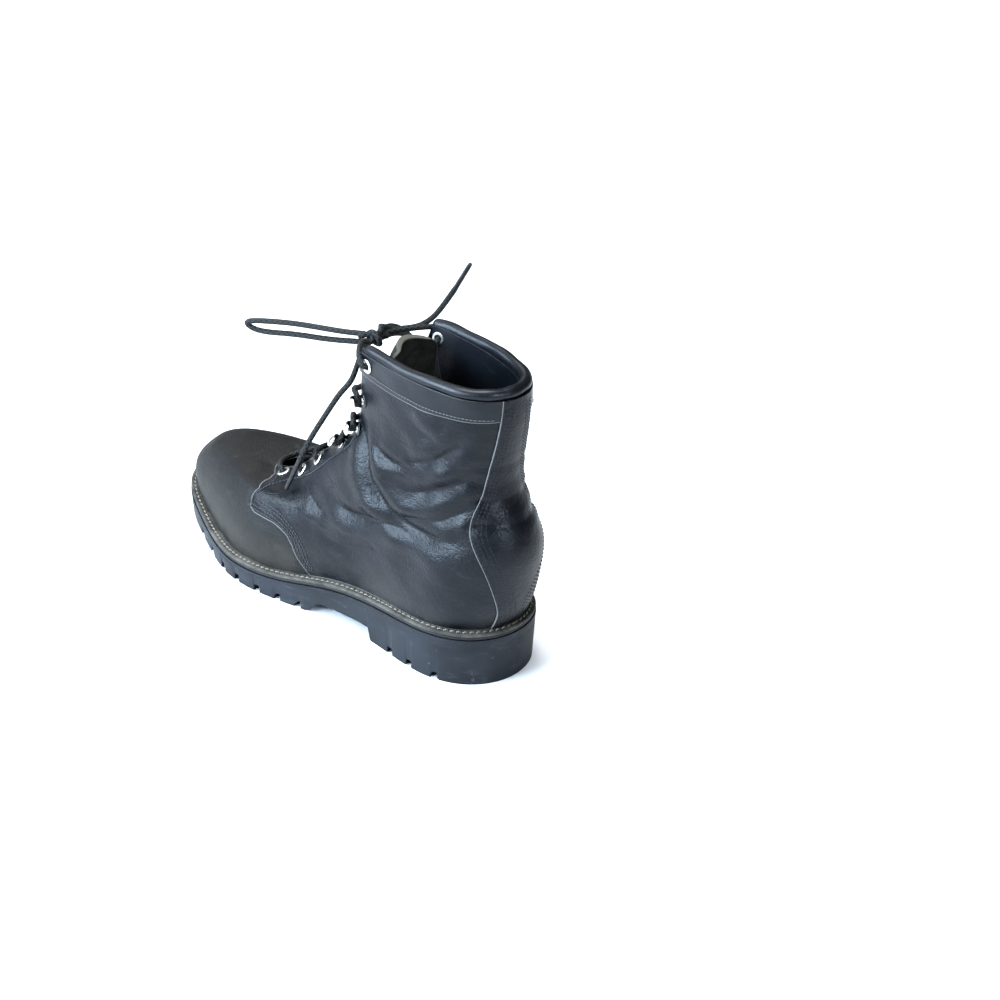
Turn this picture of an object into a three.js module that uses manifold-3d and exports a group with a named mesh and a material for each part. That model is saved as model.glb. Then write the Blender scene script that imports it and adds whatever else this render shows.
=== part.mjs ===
// Left steel toe work boot, men's size ten, six inch shaft, laced over a loose tongue.
// Millimetres, +Z up, toe towards -Y, heel towards +Y, outer (lateral) side towards +X.
// The upper is one surface, skin(phi, v): phi runs round the foot from the toe (0) to the
// heel (pi) on the lateral side and to -pi on the medial side, and v climbs from the
// feather line (0), where the upper meets the welt, to the collar edge (1).
import * as THREE from 'three';
import { mergeVertices } from 'three/addons/utils/BufferGeometryUtils.js';
import Module from 'manifold-3d';

const wasm = await Module();
wasm.setup();

// ---------- driving sizes ----------
const SOLE_LENGTH = 304;
const TOE_Y = -156;
const COLLAR_HEIGHT = 202;
const GAP = 0.3;
const LAYER_GAP = 0.65;
const FEATHER_INSET = 7;
const WELT_THICKNESS = 2.3;
const WELT_WIDTH = 15;
const MIDSOLE_THICKNESS = 1.6;
const CORK_THICKNESS = 2.3;
const BOARD_THICKNESS = 2.5;
const FOOTBED_THICKNESS = 4.5;
const SHANK_WIDTH = 14;
const SHANK_LENGTH = 100;
const LEATHER = 2;
const BACKING = 0.8;
const LINING = 1.4;
const CAP_STEEL = 1.7;
const COUNTER = 1.5;
const BEAD_RADIUS = 3.8;
const TONGUE_THICKNESS = 4.5;
const TONGUE_HALF_WIDTH = 21;
const LACE_DIAMETER = 3.6;
const EYELET_BORE = 4.6;
const EYELET_FLANGE = 9.2;
const HOOK_WIDTH = 4.4;
const RIVET_STEM = 2.6;
const ARCH_HEIGHT = 9;
const LUG_DEPTH = 5;
const LUG_GROOVE = 4.5;

// ---------- small maths ----------
const rad = (degrees) => (degrees * Math.PI) / 180;
const clamp01 = (x) => Math.min(1, Math.max(0, x));
const mix = (a, b, t) => a + (b - a) * t;
const smooth = (a, b, x) => {
  const t = clamp01((x - a) / (b - a));
  return t * t * (3 - 2 * t);
};

// Natural cubic spline through (xs, ys).
function spline(xs, ys) {
  const n = xs.length;
  const bend = new Array(n).fill(0);
  const sweep = new Array(n).fill(0);
  for (let i = 1; i < n - 1; i += 1) {
    const share = (xs[i] - xs[i - 1]) / (xs[i + 1] - xs[i - 1]);
    const pivot = share * bend[i - 1] + 2;
    const rise = (ys[i + 1] - ys[i]) / (xs[i + 1] - xs[i]) - (ys[i] - ys[i - 1]) / (xs[i] - xs[i - 1]);
    bend[i] = (share - 1) / pivot;
    sweep[i] = ((6 * rise) / (xs[i + 1] - xs[i - 1]) - share * sweep[i - 1]) / pivot;
  }
  for (let i = n - 2; i >= 0; i -= 1) bend[i] = bend[i] * bend[i + 1] + sweep[i];
  return (x) => {
    let i = 0;
    while (i < n - 2 && x > xs[i + 1]) i += 1;
    const h = xs[i + 1] - xs[i];
    const a = (xs[i + 1] - x) / h;
    const b = 1 - a;
    return a * ys[i] + b * ys[i + 1] + (((a ** 3 - a) * bend[i] + (b ** 3 - b) * bend[i + 1]) * h * h) / 6;
  };
}

// Straight lines through (xs, ys), level past both ends.
function polyline(xs, ys) {
  return (x) => {
    if (x <= xs[0]) return ys[0];
    for (let i = 1; i < xs.length; i += 1) {
      if (x <= xs[i]) return mix(ys[i - 1], ys[i], (x - xs[i - 1]) / (xs[i] - xs[i - 1]));
    }
    return ys[ys.length - 1];
  };
}

// ---------- the foot outline and the upper ----------
const LENGTH_GRADE = SOLE_LENGTH / 304;
const HEIGHT_GRADE = COLLAR_HEIGHT / 202;
const STATIONS = [0, 0.1, 0.3, 0.5, 0.7, 0.9, 1];
const SOLE_LATERAL = [71, 61, 61.5, 48.5, 43.5, 66, 79];
const SOLE_MEDIAL = [51, 59.5, 57, 43, 42, 65, 84];
const centreX = spline([0, 0.5, 1], [-7, -1, -1]);
const COLLAR_X = 1.9;
const HALF_STEP = 0.002;
// Height, as v, above which the upper no longer follows the curve of the sole.
const ANKLE_V = 0.6;
const featherZ = spline(
  [0, 32, 62, 102, 142, 177, 207, 237, 304].map((d) => TOE_Y + d * LENGTH_GRADE),
  [31.5, 24.2, 19.5, 18.5, 21.2, 27.6, 31, 34.3, 37.8],
);
const frontY = spline(
  [0, 0.08, 0.16, 0.25, 0.36, 0.48, 0.6, 0.74, 0.87, 1],
  [FEATHER_INSET, 5, 15, 33, 72.5, 109, 136.5, 169, 181, 181.5].map((d) => TOE_Y + d * LENGTH_GRADE),
);
const frontZ = spline(
  [0, 0.08, 0.16, 0.25, 0.36, 0.48, 0.6, 0.74, 0.87, 1],
  [30.5, 43, 55, 65.5, 66.5, 74.5, 97.5, 124.5 * HEIGHT_GRADE, 157.5 * HEIGHT_GRADE, COLLAR_HEIGHT],
);
const backY = spline(
  [0, 0.1, 0.25, 0.4, 0.55, 0.7, 0.85, 1],
  [SOLE_LENGTH - FEATHER_INSET, 302, 307, 309, 297, 293.5, 297.5, 298].map((d) => TOE_Y + d * LENGTH_GRADE),
);
const backZ = spline(
  [0, 0.1, 0.25, 0.4, 0.55, 0.7, 0.85, 1],
  [36.5, 49.5, 71, 96.5, 120.5, 145.5 * HEIGHT_GRADE, 174.5 * HEIGHT_GRADE, COLLAR_HEIGHT - 4],
);
// Half widths of the upper for the seven stations, one row for each height v. The two
// lowest rows follow the sole outline, and the upper draws in a little between them.
const LEVELS = [0, 0.12, 0.3, 0.5, 0.75, 1];
const DRAW_IN = 0.6;
const shell = (sole, rows) => [
  sole.map((w) => w - FEATHER_INSET),
  sole.map((w) => w - FEATHER_INSET - DRAW_IN),
  ...rows,
];
const WIDTH_LATERAL = shell(SOLE_LATERAL, [
  [39, 42.5, 42, 36, 35.5, 51.5, 62],
  [40, 37.5, 35, 33.5, 33, 40, 47.5],
  [41, 35.5, 32.5, 32, 32.5, 36, 39],
  [56, 42.5, 31, 29.5, 30.5, 35.5, 38.5],
]);
const WIDTH_MEDIAL = shell(SOLE_MEDIAL, [
  [40.5, 41, 40, 37, 37, 53.5, 65],
  [43, 40.5, 37.5, 35.5, 34.5, 42, 49],
  [46, 43, 37.5, 36, 35, 38, 41],
  [62, 54, 41, 36, 34, 36, 40],
]);
const widthSplines = (rows) => STATIONS.map((_, k) => spline(LEVELS, rows.map((row) => row[k])));
const lateralColumns = widthSplines(WIDTH_LATERAL);
const medialColumns = widthSplines(WIDTH_MEDIAL);
const widthRows = new Map();

function halfWidth(lateral, v) {
  const key = `${lateral} ${v}`;
  if (!widthRows.has(key)) {
    const columns = lateral ? lateralColumns : medialColumns;
    widthRows.set(key, spline(STATIONS, columns.map((column) => column(v))));
  }
  return widthRows.get(key);
}

function skin(phi, v) {
  const t = (1 - Math.cos(phi)) / 2;
  const footY = mix(frontY(0), backY(0), t);
  const foot = Math.max(0, 1 - v / ANKLE_V) ** 2;
  const level = mix(frontZ(v), backZ(v), t);
  const width = halfWidth(Math.sin(phi) >= 0, v)(t);
  return new THREE.Vector3(
    centreX(t) * Math.max(0, 1 - v) ** 1.5 + COLLAR_X * v + Math.sin(phi) * width,
    mix(frontY(v), backY(v), t),
    level + (featherZ(footY) - mix(frontZ(0), backZ(0), t)) * foot,
  );
}

// Outward normal of the upper. It is level at the feather line, so every layer of the
// upper stands on the welt at one height.
function outward(phi, v) {
  const e = HALF_STEP;
  const around = skin(phi + e, v).sub(skin(phi - e, v));
  const up = skin(phi, Math.min(1, v + e)).sub(skin(phi, Math.max(0, v - e)));
  const n = around.cross(up);
  n.z *= smooth(0, 0.03, v);
  return n.normalize();
}

const layer = (phi, v, offset) => skin(phi, v).addScaledVector(outward(phi, v), offset);

// Point of the sole outline, moved inwards by inset.
const soleLateral = spline(STATIONS, SOLE_LATERAL);
const soleMedial = spline(STATIONS, SOLE_MEDIAL);
function outline(phi, inset) {
  const at = (angle) => {
    const t = (1 - Math.cos(angle)) / 2;
    const width = Math.sin(angle) >= 0 ? soleLateral(t) : soleMedial(t);
    return new THREE.Vector2(centreX(t) + Math.sin(angle) * width, TOE_Y + SOLE_LENGTH * t);
  };
  const run = at(phi + HALF_STEP).sub(at(phi - HALF_STEP)).normalize();
  return at(phi).add(new THREE.Vector2(-run.y, run.x).multiplyScalar(inset));
}

// ---------- solids ----------
const boot = new THREE.Group();

function add(name, geometry, colour, roughness, metalness = 0) {
  const material = new THREE.MeshStandardMaterial({ color: colour, roughness, metalness });
  const mesh = new THREE.Mesh(geometry, material);
  mesh.name = name;
  boot.add(mesh);
  return mesh;
}

function geometryOf(points, faces) {
  const geometry = new THREE.BufferGeometry();
  const places = points.flatMap((p) => [p.x, p.y, p.z]);
  geometry.setAttribute('position', new THREE.Float32BufferAttribute(places, 3));
  geometry.setIndex(faces);
  return geometry;
}

// Skin of a row of rings, each with the same number of points. Open rows get end faces.
function loft(rings, closed = false) {
  const m = rings[0].length;
  const faces = [];
  const last = closed ? rings.length : rings.length - 1;
  for (let i = 0; i < last; i += 1) {
    const near = i * m;
    const far = ((i + 1) % rings.length) * m;
    for (let j = 0; j < m; j += 1) {
      const k = (j + 1) % m;
      faces.push(near + j, far + k, near + k, near + j, far + j, far + k);
    }
  }
  if (!closed) {
    const end = (rings.length - 1) * m;
    for (let j = 1; j < m / 2; j += 1) {
      const a = j - 1;
      const d = m - j;
      faces.push(a, d - 1, d, a, j, d - 1);
      faces.push(end + a, end + d, end + d - 1, end + a, end + d - 1, end + j);
    }
  }
  return geometryOf(rings.flat(), faces);
}

function toSolid(geometry) {
  const bare = geometry.clone();
  bare.deleteAttribute('normal');
  bare.deleteAttribute('uv');
  const merged = mergeVertices(bare, 1e-4);
  const mesh = new wasm.Mesh({
    numProp: 3,
    vertProperties: Float32Array.from(merged.attributes.position.array),
    triVerts: Uint32Array.from(merged.index.array),
  });
  return new wasm.Manifold(mesh);
}

function fromSolid(solid) {
  const mesh = solid.getMesh();
  const geometry = new THREE.BufferGeometry();
  const places = Float32Array.from(mesh.vertProperties);
  geometry.setAttribute('position', new THREE.BufferAttribute(places, 3));
  geometry.setIndex(new THREE.BufferAttribute(Uint32Array.from(mesh.triVerts), 1));
  return geometry;
}

// Sheet of the upper between two offsets. spot(s, t) gives [phi, v] for s and t from 0 to 1,
// and each strip across it is a ring: out along the outer face and back along the inner one.
function sheet(spot, outer, inner, columns, rows) {
  const offset = (value, phi, v) => (typeof value === 'function' ? value(phi, v) : value);
  const rings = [];
  for (let i = 0; i <= columns; i += 1) {
    const ring = [];
    for (let j = 0; j <= rows; j += 1) {
      const [phi, v] = spot(i / columns, j / rows);
      ring.push(layer(phi, v, offset(outer, phi, v)));
    }
    for (let j = rows; j >= 0; j -= 1) {
      const [phi, v] = spot(i / columns, j / rows);
      ring.push(layer(phi, v, offset(inner, phi, v)));
    }
    rings.push(ring);
  }
  return loft(rings);
}

// Flat plate of the sole between two heights, both functions of y.
function plate(inset, top, bottom, angles) {
  return loft(angles.map((phi) => {
    const left = outline(-phi, inset);
    const right = outline(phi, inset);
    return [
      new THREE.Vector3(right.x, right.y, bottom(right.y)),
      new THREE.Vector3(right.x, right.y, top(right.y)),
      new THREE.Vector3(left.x, left.y, top(left.y)),
      new THREE.Vector3(left.x, left.y, bottom(left.y)),
    ];
  }));
}

const spread = (from, to, count) => Array.from({ length: count + 1 }, (_, i) => mix(from, to, i / count));
const TIP = rad(5);
const PLATE_ANGLES = spread(TIP, Math.PI - TIP, 32);

// ---------- seams of the upper, as places on skin(phi, v) ----------
// Facing: the laced front edge of each quarter, as phi in degrees for a height v.
const FACING_PHI = [17, 20, 22.5, 25, 29, 32, 38, 44, 48];
const facingPhi = polyline([0.41, 0.51, 0.59, 0.69, 0.79, 0.87, 0.94, 0.985, 1], FACING_PHI);
const facingTop = polyline(FACING_PHI, [0.43, 0.51, 0.59, 0.69, 0.79, 0.87, 0.94, 0.985, 1]);
// Front and lower edge of each quarter where it lies over the vamp.
const quarterFoot = polyline(
  [17, 34, 43, 58, 64, 66, 72, 77, 83, 86, 89, 92.5],
  [0.405, 0.391, 0.36, 0.283, 0.225, 0.19, 0.19, 0.187, 0.16, 0.12, 0.06, 0],
);
// Upper edge of the vamp, hidden under the quarters.
const VAMP_END = 101;
const vampTop = polyline(
  [0, 17, 34, 43, 58, 66, 75, 84, 92, 97, VAMP_END],
  [0.408, 0.406, 0.405, 0.395, 0.34, 0.285, 0.265, 0.24, 0.18, 0.11, 0.03],
);
// Front edge of the backstay, as phi in degrees for a height v.
const backstayPhi = spline(
  [0, 0.1, 0.2, 0.3, 0.38, 0.46, 0.52, 0.6, 0.68, 0.82, 1],
  [168, 168, 164, 157, 149.5, 145, 147, 154.5, 158, 161, 164],
);
const alongCollar = (front, back) => (phi) => mix(front, back, (1 - Math.cos(rad(phi))) / 2);
const beadFoot = alongCollar(0.968, 0.955);
const bandFoot = alongCollar(0.94, 0.882);
const CAP_BACK = polyline([0, 20, 32, 40, 45, 47], [0.29, 0.28, 0.25, 0.19, 0.1, 0.02]);

// ---------- layers of the upper ----------
// The quarters straddle the skin, the vamp lies one leather further in, and the rest
// follows inwards with a gap between each two.
const QUARTER_OUT = LEATHER / 2;
const QUARTER_IN = -LEATHER / 2;
const VAMP_OUT = QUARTER_IN - 1.9 * LAYER_GAP;
const VAMP_IN = VAMP_OUT - LEATHER;
const STIFFENER_OUT = QUARTER_IN - LAYER_GAP;
const LINING_OUT = STIFFENER_OUT - COUNTER - 1.9 * LAYER_GAP;
const LINING_IN = LINING_OUT - LINING;
const CAP_OUT = VAMP_IN - LAYER_GAP;
const CAP_IN = CAP_OUT - CAP_STEEL;
const OVERLAY_IN = QUARTER_OUT + 1.2 * LAYER_GAP;
const BACKSTAY_LEATHER = 1.5;
const BAND_LEATHER = 1;
const BACKSTAY_OUT = OVERLAY_IN + BACKSTAY_LEATHER;
const BAND_OUT = OVERLAY_IN + BAND_LEATHER;
// Under the toe cap the vamp lining lies further in by the cap and its clearances.
const CAP_ROOM = CAP_STEEL + 2.3 * LAYER_GAP;
const TOE_LINING_IN = VAMP_IN - LAYER_GAP - CAP_ROOM - LINING;

// ---------- sole ----------
const weltTop = (y) => featherZ(y) - GAP;
const weltFoot = (y) => weltTop(y) - WELT_THICKNESS;
const midsoleTop = (y) => weltFoot(y) - GAP;
const midsoleFoot = (y) => midsoleTop(y) - MIDSOLE_THICKNESS;
const outsoleTop = (y) => midsoleFoot(y) - GAP;
const FOREPART_END = TOE_Y + 159 * LENGTH_GRADE;
const HEEL_BREAST = TOE_Y + 214 * LENGTH_GRADE;
const SPRING_START = TOE_Y + 88 * LENGTH_GRADE;
const TOE_SPRING = 11;
const FOREPART_SLOPE = 12;
const BREAST_SLOPE = 3;

function treadZ(y) {
  const spring = TOE_SPRING * (Math.max(0, SPRING_START - y) / (SPRING_START - TOE_Y)) ** 1.6;
  const front = smooth(FOREPART_END, FOREPART_END + FOREPART_SLOPE, y);
  const back = 1 - smooth(HEEL_BREAST - BREAST_SLOPE, HEEL_BREAST, y);
  return spring + ARCH_HEIGHT * front * back;
}

const angleAt = (y) => Math.acos(1 - (2 * (y - TOE_Y)) / SOLE_LENGTH);

const SOLE_DRAFT = 1.2;
const LUG_REACH = 44;
const LUG_TURN = 8;
const LUG_PLACES = [46, 66, 84, 101, 120, 137, 153, 233, 251, 271];
const CHANNELS = [[58, 152], [222, 292]];

function makeOutsole() {
  const steps = spread(0, FOREPART_SLOPE, 6).map((d) => angleAt(FOREPART_END + d));
  const breast = spread(-BREAST_SLOPE, 0, 3).map((d) => angleAt(HEEL_BREAST + d));
  const between = (from, to, count) => spread(from, to, count + 1).slice(1, -1);
  const angles = [
    TIP,
    ...between(TIP, steps[0], 20),
    ...steps,
    ...between(steps[steps.length - 1], breast[0], 5),
    ...breast,
    ...between(breast[3], Math.PI - TIP, 13),
    Math.PI - TIP,
  ];
  const body = loft(angles.map((phi) => {
    const corners = [];
    for (const side of [1, -1]) {
      const top = outline(side * phi, 0);
      const foot = outline(side * phi, SOLE_DRAFT);
      const low = new THREE.Vector3(foot.x, foot.y, treadZ(foot.y));
      const high = new THREE.Vector3(top.x, top.y, outsoleTop(top.y));
      corners.push(...(side > 0 ? [low, high] : [high, low]));
    }
    return corners;
  }));
  let sole = toSolid(body);
  const groove = (x, y, turn) => {
    const box = new THREE.BoxGeometry(LUG_REACH, LUG_GROOVE, 2 * LUG_DEPTH);
    box.rotateZ(rad(turn));
    box.translate(x, y, treadZ(y));
    sole = sole.subtract(toSolid(box));
  };
  for (const d of LUG_PLACES) {
    const y = TOE_Y + d * LENGTH_GRADE;
    for (const side of [1, -1]) {
      const edge = outline(side * angleAt(y), 0);
      groove(edge.x - side * LUG_GROOVE, y, side * LUG_TURN);
    }
  }
  for (const [from, to] of CHANNELS) {
    const channel = new THREE.BoxGeometry(LUG_GROOVE - 1, (to - from) * LENGTH_GRADE, LUG_DEPTH);
    channel.translate(centreX(0.5), TOE_Y + ((from + to) / 2) * LENGTH_GRADE, -GAP);
    sole = sole.subtract(toSolid(channel));
  }
  return fromSolid(sole);
}

add('outsole', makeOutsole(), 0x2b2f35, 0.75);
const MIDSOLE_INSET = 0.8;
add('midsole', plate(MIDSOLE_INSET, midsoleTop, midsoleFoot, PLATE_ANGLES), 0x141414, 0.6);

const welt = loft(spread(-Math.PI, Math.PI, 56).slice(0, -1).map((phi) => {
  const inner = outline(phi, WELT_WIDTH);
  const outer = outline(phi, MIDSOLE_INSET / 2);
  return [
    new THREE.Vector3(outer.x, outer.y, weltTop(outer.y)),
    new THREE.Vector3(inner.x, inner.y, weltTop(inner.y)),
    new THREE.Vector3(inner.x, inner.y, weltFoot(inner.y)),
    new THREE.Vector3(outer.x, outer.y, weltFoot(outer.y)),
  ];
}), true);
add('welt', welt, 0x4a4640, 0.8);

const corkTop = (y) => weltFoot(y) + CORK_THICKNESS;
const boardTop = (y) => corkTop(y) + GAP + BOARD_THICKNESS;
const corkPlate = plate(WELT_WIDTH + GAP, corkTop, weltFoot, PLATE_ANGLES);
const SHANK_MIDDLE = HEEL_BREAST - 14;
const THROUGH = 40;
const slot = new THREE.BoxGeometry(SHANK_WIDTH + 2 * GAP, SHANK_LENGTH + 2 * GAP, THROUGH);
slot.translate(centreX(0.5), SHANK_MIDDLE, featherZ(SHANK_MIDDLE));
add('cork_filler', fromSolid(toSolid(corkPlate).subtract(toSolid(slot))), 0x8a6a45, 0.9);
const shankRings = spread(-SHANK_LENGTH / 2, SHANK_LENGTH / 2, 12).map((d) => {
  const y = SHANK_MIDDLE + d;
  const foot = weltFoot(y) + GAP;
  const corner = (side, z) => new THREE.Vector3(centreX(0.5) + (side * SHANK_WIDTH) / 2, y, z);
  return [corner(1, foot), corner(1, corkTop(y)), corner(-1, corkTop(y)), corner(-1, foot)];
});
add('shank', loft(shankRings), 0x9a9da0, 0.4, 1);
const BOARD_INSET = FEATHER_INSET - TOE_LINING_IN + 0.5;
const boardFoot = (y) => corkTop(y) + GAP;
const bedFoot = (y) => boardTop(y) + GAP;
const bedTop = (y) => bedFoot(y) + FOOTBED_THICKNESS;
add('insole_board', plate(BOARD_INSET, boardTop, boardFoot, PLATE_ANGLES), 0x7a6248, 0.9);
add('footbed', plate(BOARD_INSET + 2 * GAP, bedTop, bedFoot, PLATE_ANGLES), 0x26272a, 0.95);

// ---------- holes and leather pieces ----------
const BARREL_WALL = 0.8;
// The top eyelet's barrel ends just under the collar bead. One v is about 310 mm there.
const TOP_EYELET = [50, beadFoot(50) - (EYELET_BORE / 2 + BARREL_WALL) / 310];
const EYELET_SPOTS = [[28, 0.429], [31, 0.512], [33, 0.588], TOP_EYELET];
const HOOK_SPOTS = [[35, 0.688], [39, 0.782], [41, 0.869]];

function frameAt(side, phiDegrees, v, offset) {
  const phi = side * rad(phiDegrees);
  const out = outward(phi, v);
  const up = skin(phi, v + 0.01).sub(skin(phi, v - 0.01));
  up.addScaledVector(out, -up.dot(out)).normalize();
  const away = up.clone().cross(out);
  if (side < 0) away.negate();
  return { place: layer(phi, v, offset), out, up, away };
}

// A drill through all layers at each hole of one side. Its few flat sides lie inside the
// round of its diameter, so a drill for an eyelet is wider than the barrel by 3.6 gaps.
const DRILL_LENGTH = 18;
const DRILL_SIDES = 7;
function drills(side) {
  const tools = [];
  const bore = (spot, diameter) => {
    const { place, out } = frameAt(side, spot[0], spot[1], QUARTER_IN);
    const tool = new THREE.CylinderGeometry(diameter / 2, diameter / 2, DRILL_LENGTH, DRILL_SIDES);
    tool.applyQuaternion(new THREE.Quaternion().setFromUnitVectors(new THREE.Vector3(0, 1, 0), out));
    tool.translate(place.x, place.y, place.z);
    tools.push(toSolid(tool));
  };
  EYELET_SPOTS.forEach((spot) => bore(spot, EYELET_BORE + 2 * BARREL_WALL + 3.6 * GAP));
  HOOK_SPOTS.forEach((spot) => bore(spot, RIVET_STEM + 2 * GAP));
  return tools;
}

const DRILLS = { 1: drills(1), '-1': drills(-1) };
const bored = (solid, tools) => fromSolid(tools.reduce((a, b) => a.subtract(b), solid));
const drilled = (geometry, side) => bored(toSolid(geometry), DRILLS[side]);

// A sheet on the lateral side (side 1) or its twin on the medial side (side -1).
function sideSheet(side, spot, outer, inner, columns, rows) {
  return sheet((s, t) => {
    const [phi, v] = spot(side > 0 ? s : 1 - s, t);
    return [side * rad(phi), v];
  }, outer, inner, columns, rows);
}

const vampSpot = (drop) => (s, t) => {
  const phi = mix(-VAMP_END, VAMP_END, s);
  return [rad(phi), t * (vampTop(Math.abs(phi)) - drop)];
};
add('vamp', sheet(vampSpot(0), VAMP_OUT, VAMP_IN, 26, 7), 0x2a2b2d, 0.6);

const CAP_LENGTH = 62;
// The vamp lining steps inwards under the toe cap.
const CAP_EDGE = TOE_Y + CAP_LENGTH;
const capStep = (phi, v) => 1 - smooth(CAP_EDGE + 6, CAP_EDGE + 30, skin(phi, v).y);
const vampLiningOut = (phi, v) => VAMP_IN - LAYER_GAP - CAP_ROOM * capStep(phi, v);
const vampLiningIn = (phi, v) => vampLiningOut(phi, v) - LINING;
const vampLining = sheet(vampSpot(0.012), vampLiningOut, vampLiningIn, 26, 7);
add('vamp_lining', vampLining, 0x1c1c1e, 0.95);

const CAP_END = 46;
const capSpot = (s, t) => {
  const phi = mix(-CAP_END, CAP_END, s);
  return [rad(phi), mix(0.004, CAP_BACK(Math.abs(phi)), t)];
};
add('steel_toe_cap', sheet(capSpot, CAP_OUT, CAP_IN, 16, 5), 0xb5b8ba, 0.35, 1);
const stripSpot = (s, t) => {
  const phi = mix(-CAP_END + 2, CAP_END - 2, s);
  return [rad(phi), CAP_BACK(Math.abs(phi)) + mix(0.01, 0.028, t)];
};
add('toe_cap_edge_strip', sheet(stripSpot, CAP_OUT, CAP_IN + 0.3, 18, 1), 0x161616, 0.8);

const QUARTER_BACK = 179.6;
const quarterSpot = (s, t) => {
  const phi = mix(18, QUARTER_BACK, s ** 1.8);
  return [phi, mix(quarterFoot(phi), Math.min(facingTop(phi), beadFoot(phi)), t)];
};
const LINING_FRONT = 24;
const liningFoot = polyline(
  [17, 34, 43, 58, 66, 75, 84, 92, 97, VAMP_END, VAMP_END + 3],
  [0.45, 0.45, 0.43, 0.36, 0.3, 0.28, 0.255, 0.195, 0.125, 0.045, 0],
);
// The same place seen from the toe, whichever side of the heel it is on.
const fromToe = (phi) => (phi > 180 ? 360 - phi : phi);
const liningSpot = (s, t) => {
  const ease = 1 - (1 - Math.abs(2 * s - 1)) ** 2.1;
  const phi = 180 + (180 - LINING_FRONT) * Math.sign(s - 0.5) * ease;
  const side = fromToe(phi);
  return [rad(phi), mix(liningFoot(side), Math.min(facingTop(side - 3), beadFoot(side)), t)];
};
const quarterLining = toSolid(sheet(liningSpot, LINING_OUT, LINING_IN, 32, 8));
add('quarter_lining', bored(quarterLining, [...DRILLS[1], ...DRILLS[-1]]), 0x1a1a1b, 0.9);

const paddingSpot = (s, t) => {
  const phi = mix(64, 296, s);
  const side = fromToe(phi);
  return [rad(phi), mix(bandFoot(side) - 0.04, beadFoot(side) - 0.003, t)];
};
add('collar_padding', sheet(paddingSpot, STIFFENER_OUT, STIFFENER_OUT - COUNTER, 22, 2), 0x3a3a3c, 0.95);
const counterSpot = (s, t) => {
  const phi = mix(116, 244, s);
  return [rad(phi), mix(0.004, mix(0.2, 0.34, smooth(116, 150, fromToe(phi))), t)];
};
const counter = sheet(counterSpot, STIFFENER_OUT - 2 * GAP, STIFFENER_OUT - COUNTER, 18, 5);
add('heel_counter', counter, 0x6a5a48, 0.8);

const backstaySpot = (s, t) => {
  const v = mix(0.002, beadFoot(180), t);
  const edge = backstayPhi(v);
  return [rad(mix(edge, 360 - edge, s)), v];
};
add('backstay', sheet(backstaySpot, BACKSTAY_OUT, OVERLAY_IN, 10, 10), 0x242528, 0.55);

const SIDES = [['lateral', 1], ['medial', -1]];
for (const [word, side] of SIDES) {
  const quarter = sideSheet(side, quarterSpot, QUARTER_OUT, QUARTER_IN, 28, 10);
  add(`quarter_${word}`, drilled(quarter, side), 0x26282c, 0.45);
  const bandSpot = (s, t) => {
    const v = mix(bandFoot(100), beadFoot(100), t);
    const phi = mix(facingPhi(v) + 1.5, backstayPhi(v) - 1, s);
    return [phi, mix(bandFoot(phi), beadFoot(phi), t)];
  };
  const band = sideSheet(side, bandSpot, BAND_OUT, OVERLAY_IN, 18, 2);
  add(`collar_band_${word}`, drilled(band, side), 0x222326, 0.5);
  const backingSpot = (s, t) => {
    const v = mix(0.455, 0.95, t);
    return [facingPhi(v) + mix(3, 20, s), v];
  };
  const backing = sideSheet(side, backingSpot, STIFFENER_OUT, STIFFENER_OUT - BACKING, 2, 12);
  add(`eyestay_backing_${word}`, drilled(backing, side), 0x2c2c2c, 0.8);
}

// Rolled collar edge on top of the quarters, lining and padding.
const tube = (points, radius, sides, steps, closed = false) => {
  const ring = new THREE.Shape(spread(0, 2 * Math.PI, sides).slice(0, -1).map((a) => (
    new THREE.Vector2(radius * Math.cos(a), radius * Math.sin(a)))));
  const path = new THREE.CatmullRomCurve3(points, closed, 'centripetal');
  return new THREE.ExtrudeGeometry(ring, { steps, bevelEnabled: false, extrudePath: path });
};
const BEAD_MIDDLE = (QUARTER_OUT + LINING_IN) / 2;
const beadPath = spread(47, 313, 26).map((phi) => {
  const foot = layer(rad(phi), beadFoot(fromToe(phi)), BEAD_MIDDLE);
  return foot.add(new THREE.Vector3(0, 0, BEAD_RADIUS + LAYER_GAP));
});
add('collar_bead', tube(beadPath, BEAD_RADIUS, 8, 36), 0x232427, 0.45);

// ---------- tongue ----------
// The shaft grows with the collar height only above the instep, and the tongue with it.
const INSTEP_Z = 97.5;
const tall = (z) => z * mix(1, HEIGHT_GRADE, clamp01((z - INSTEP_Z) / 27));
// Middle line of the tongue's front face, from its sewn end under the vamp to its free top.
const TONGUE_LINE = new THREE.CatmullRomCurve3([
  [-76, 58], [-64, 60], [-47, 64.5], [-30, 75], [-14, 89.5], [3, 104],
  [19, 119], [29, 137], [35, 157], [40, 180], [44, 197],
].map(([y, z]) => new THREE.Vector3(-1, y, tall(z))), false, 'centripetal');
const TONGUE_BASE_HALF = 15;
const TONGUE_BOW = 13;
const SIDEWAYS = new THREE.Vector3(1, 0, 0);

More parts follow.
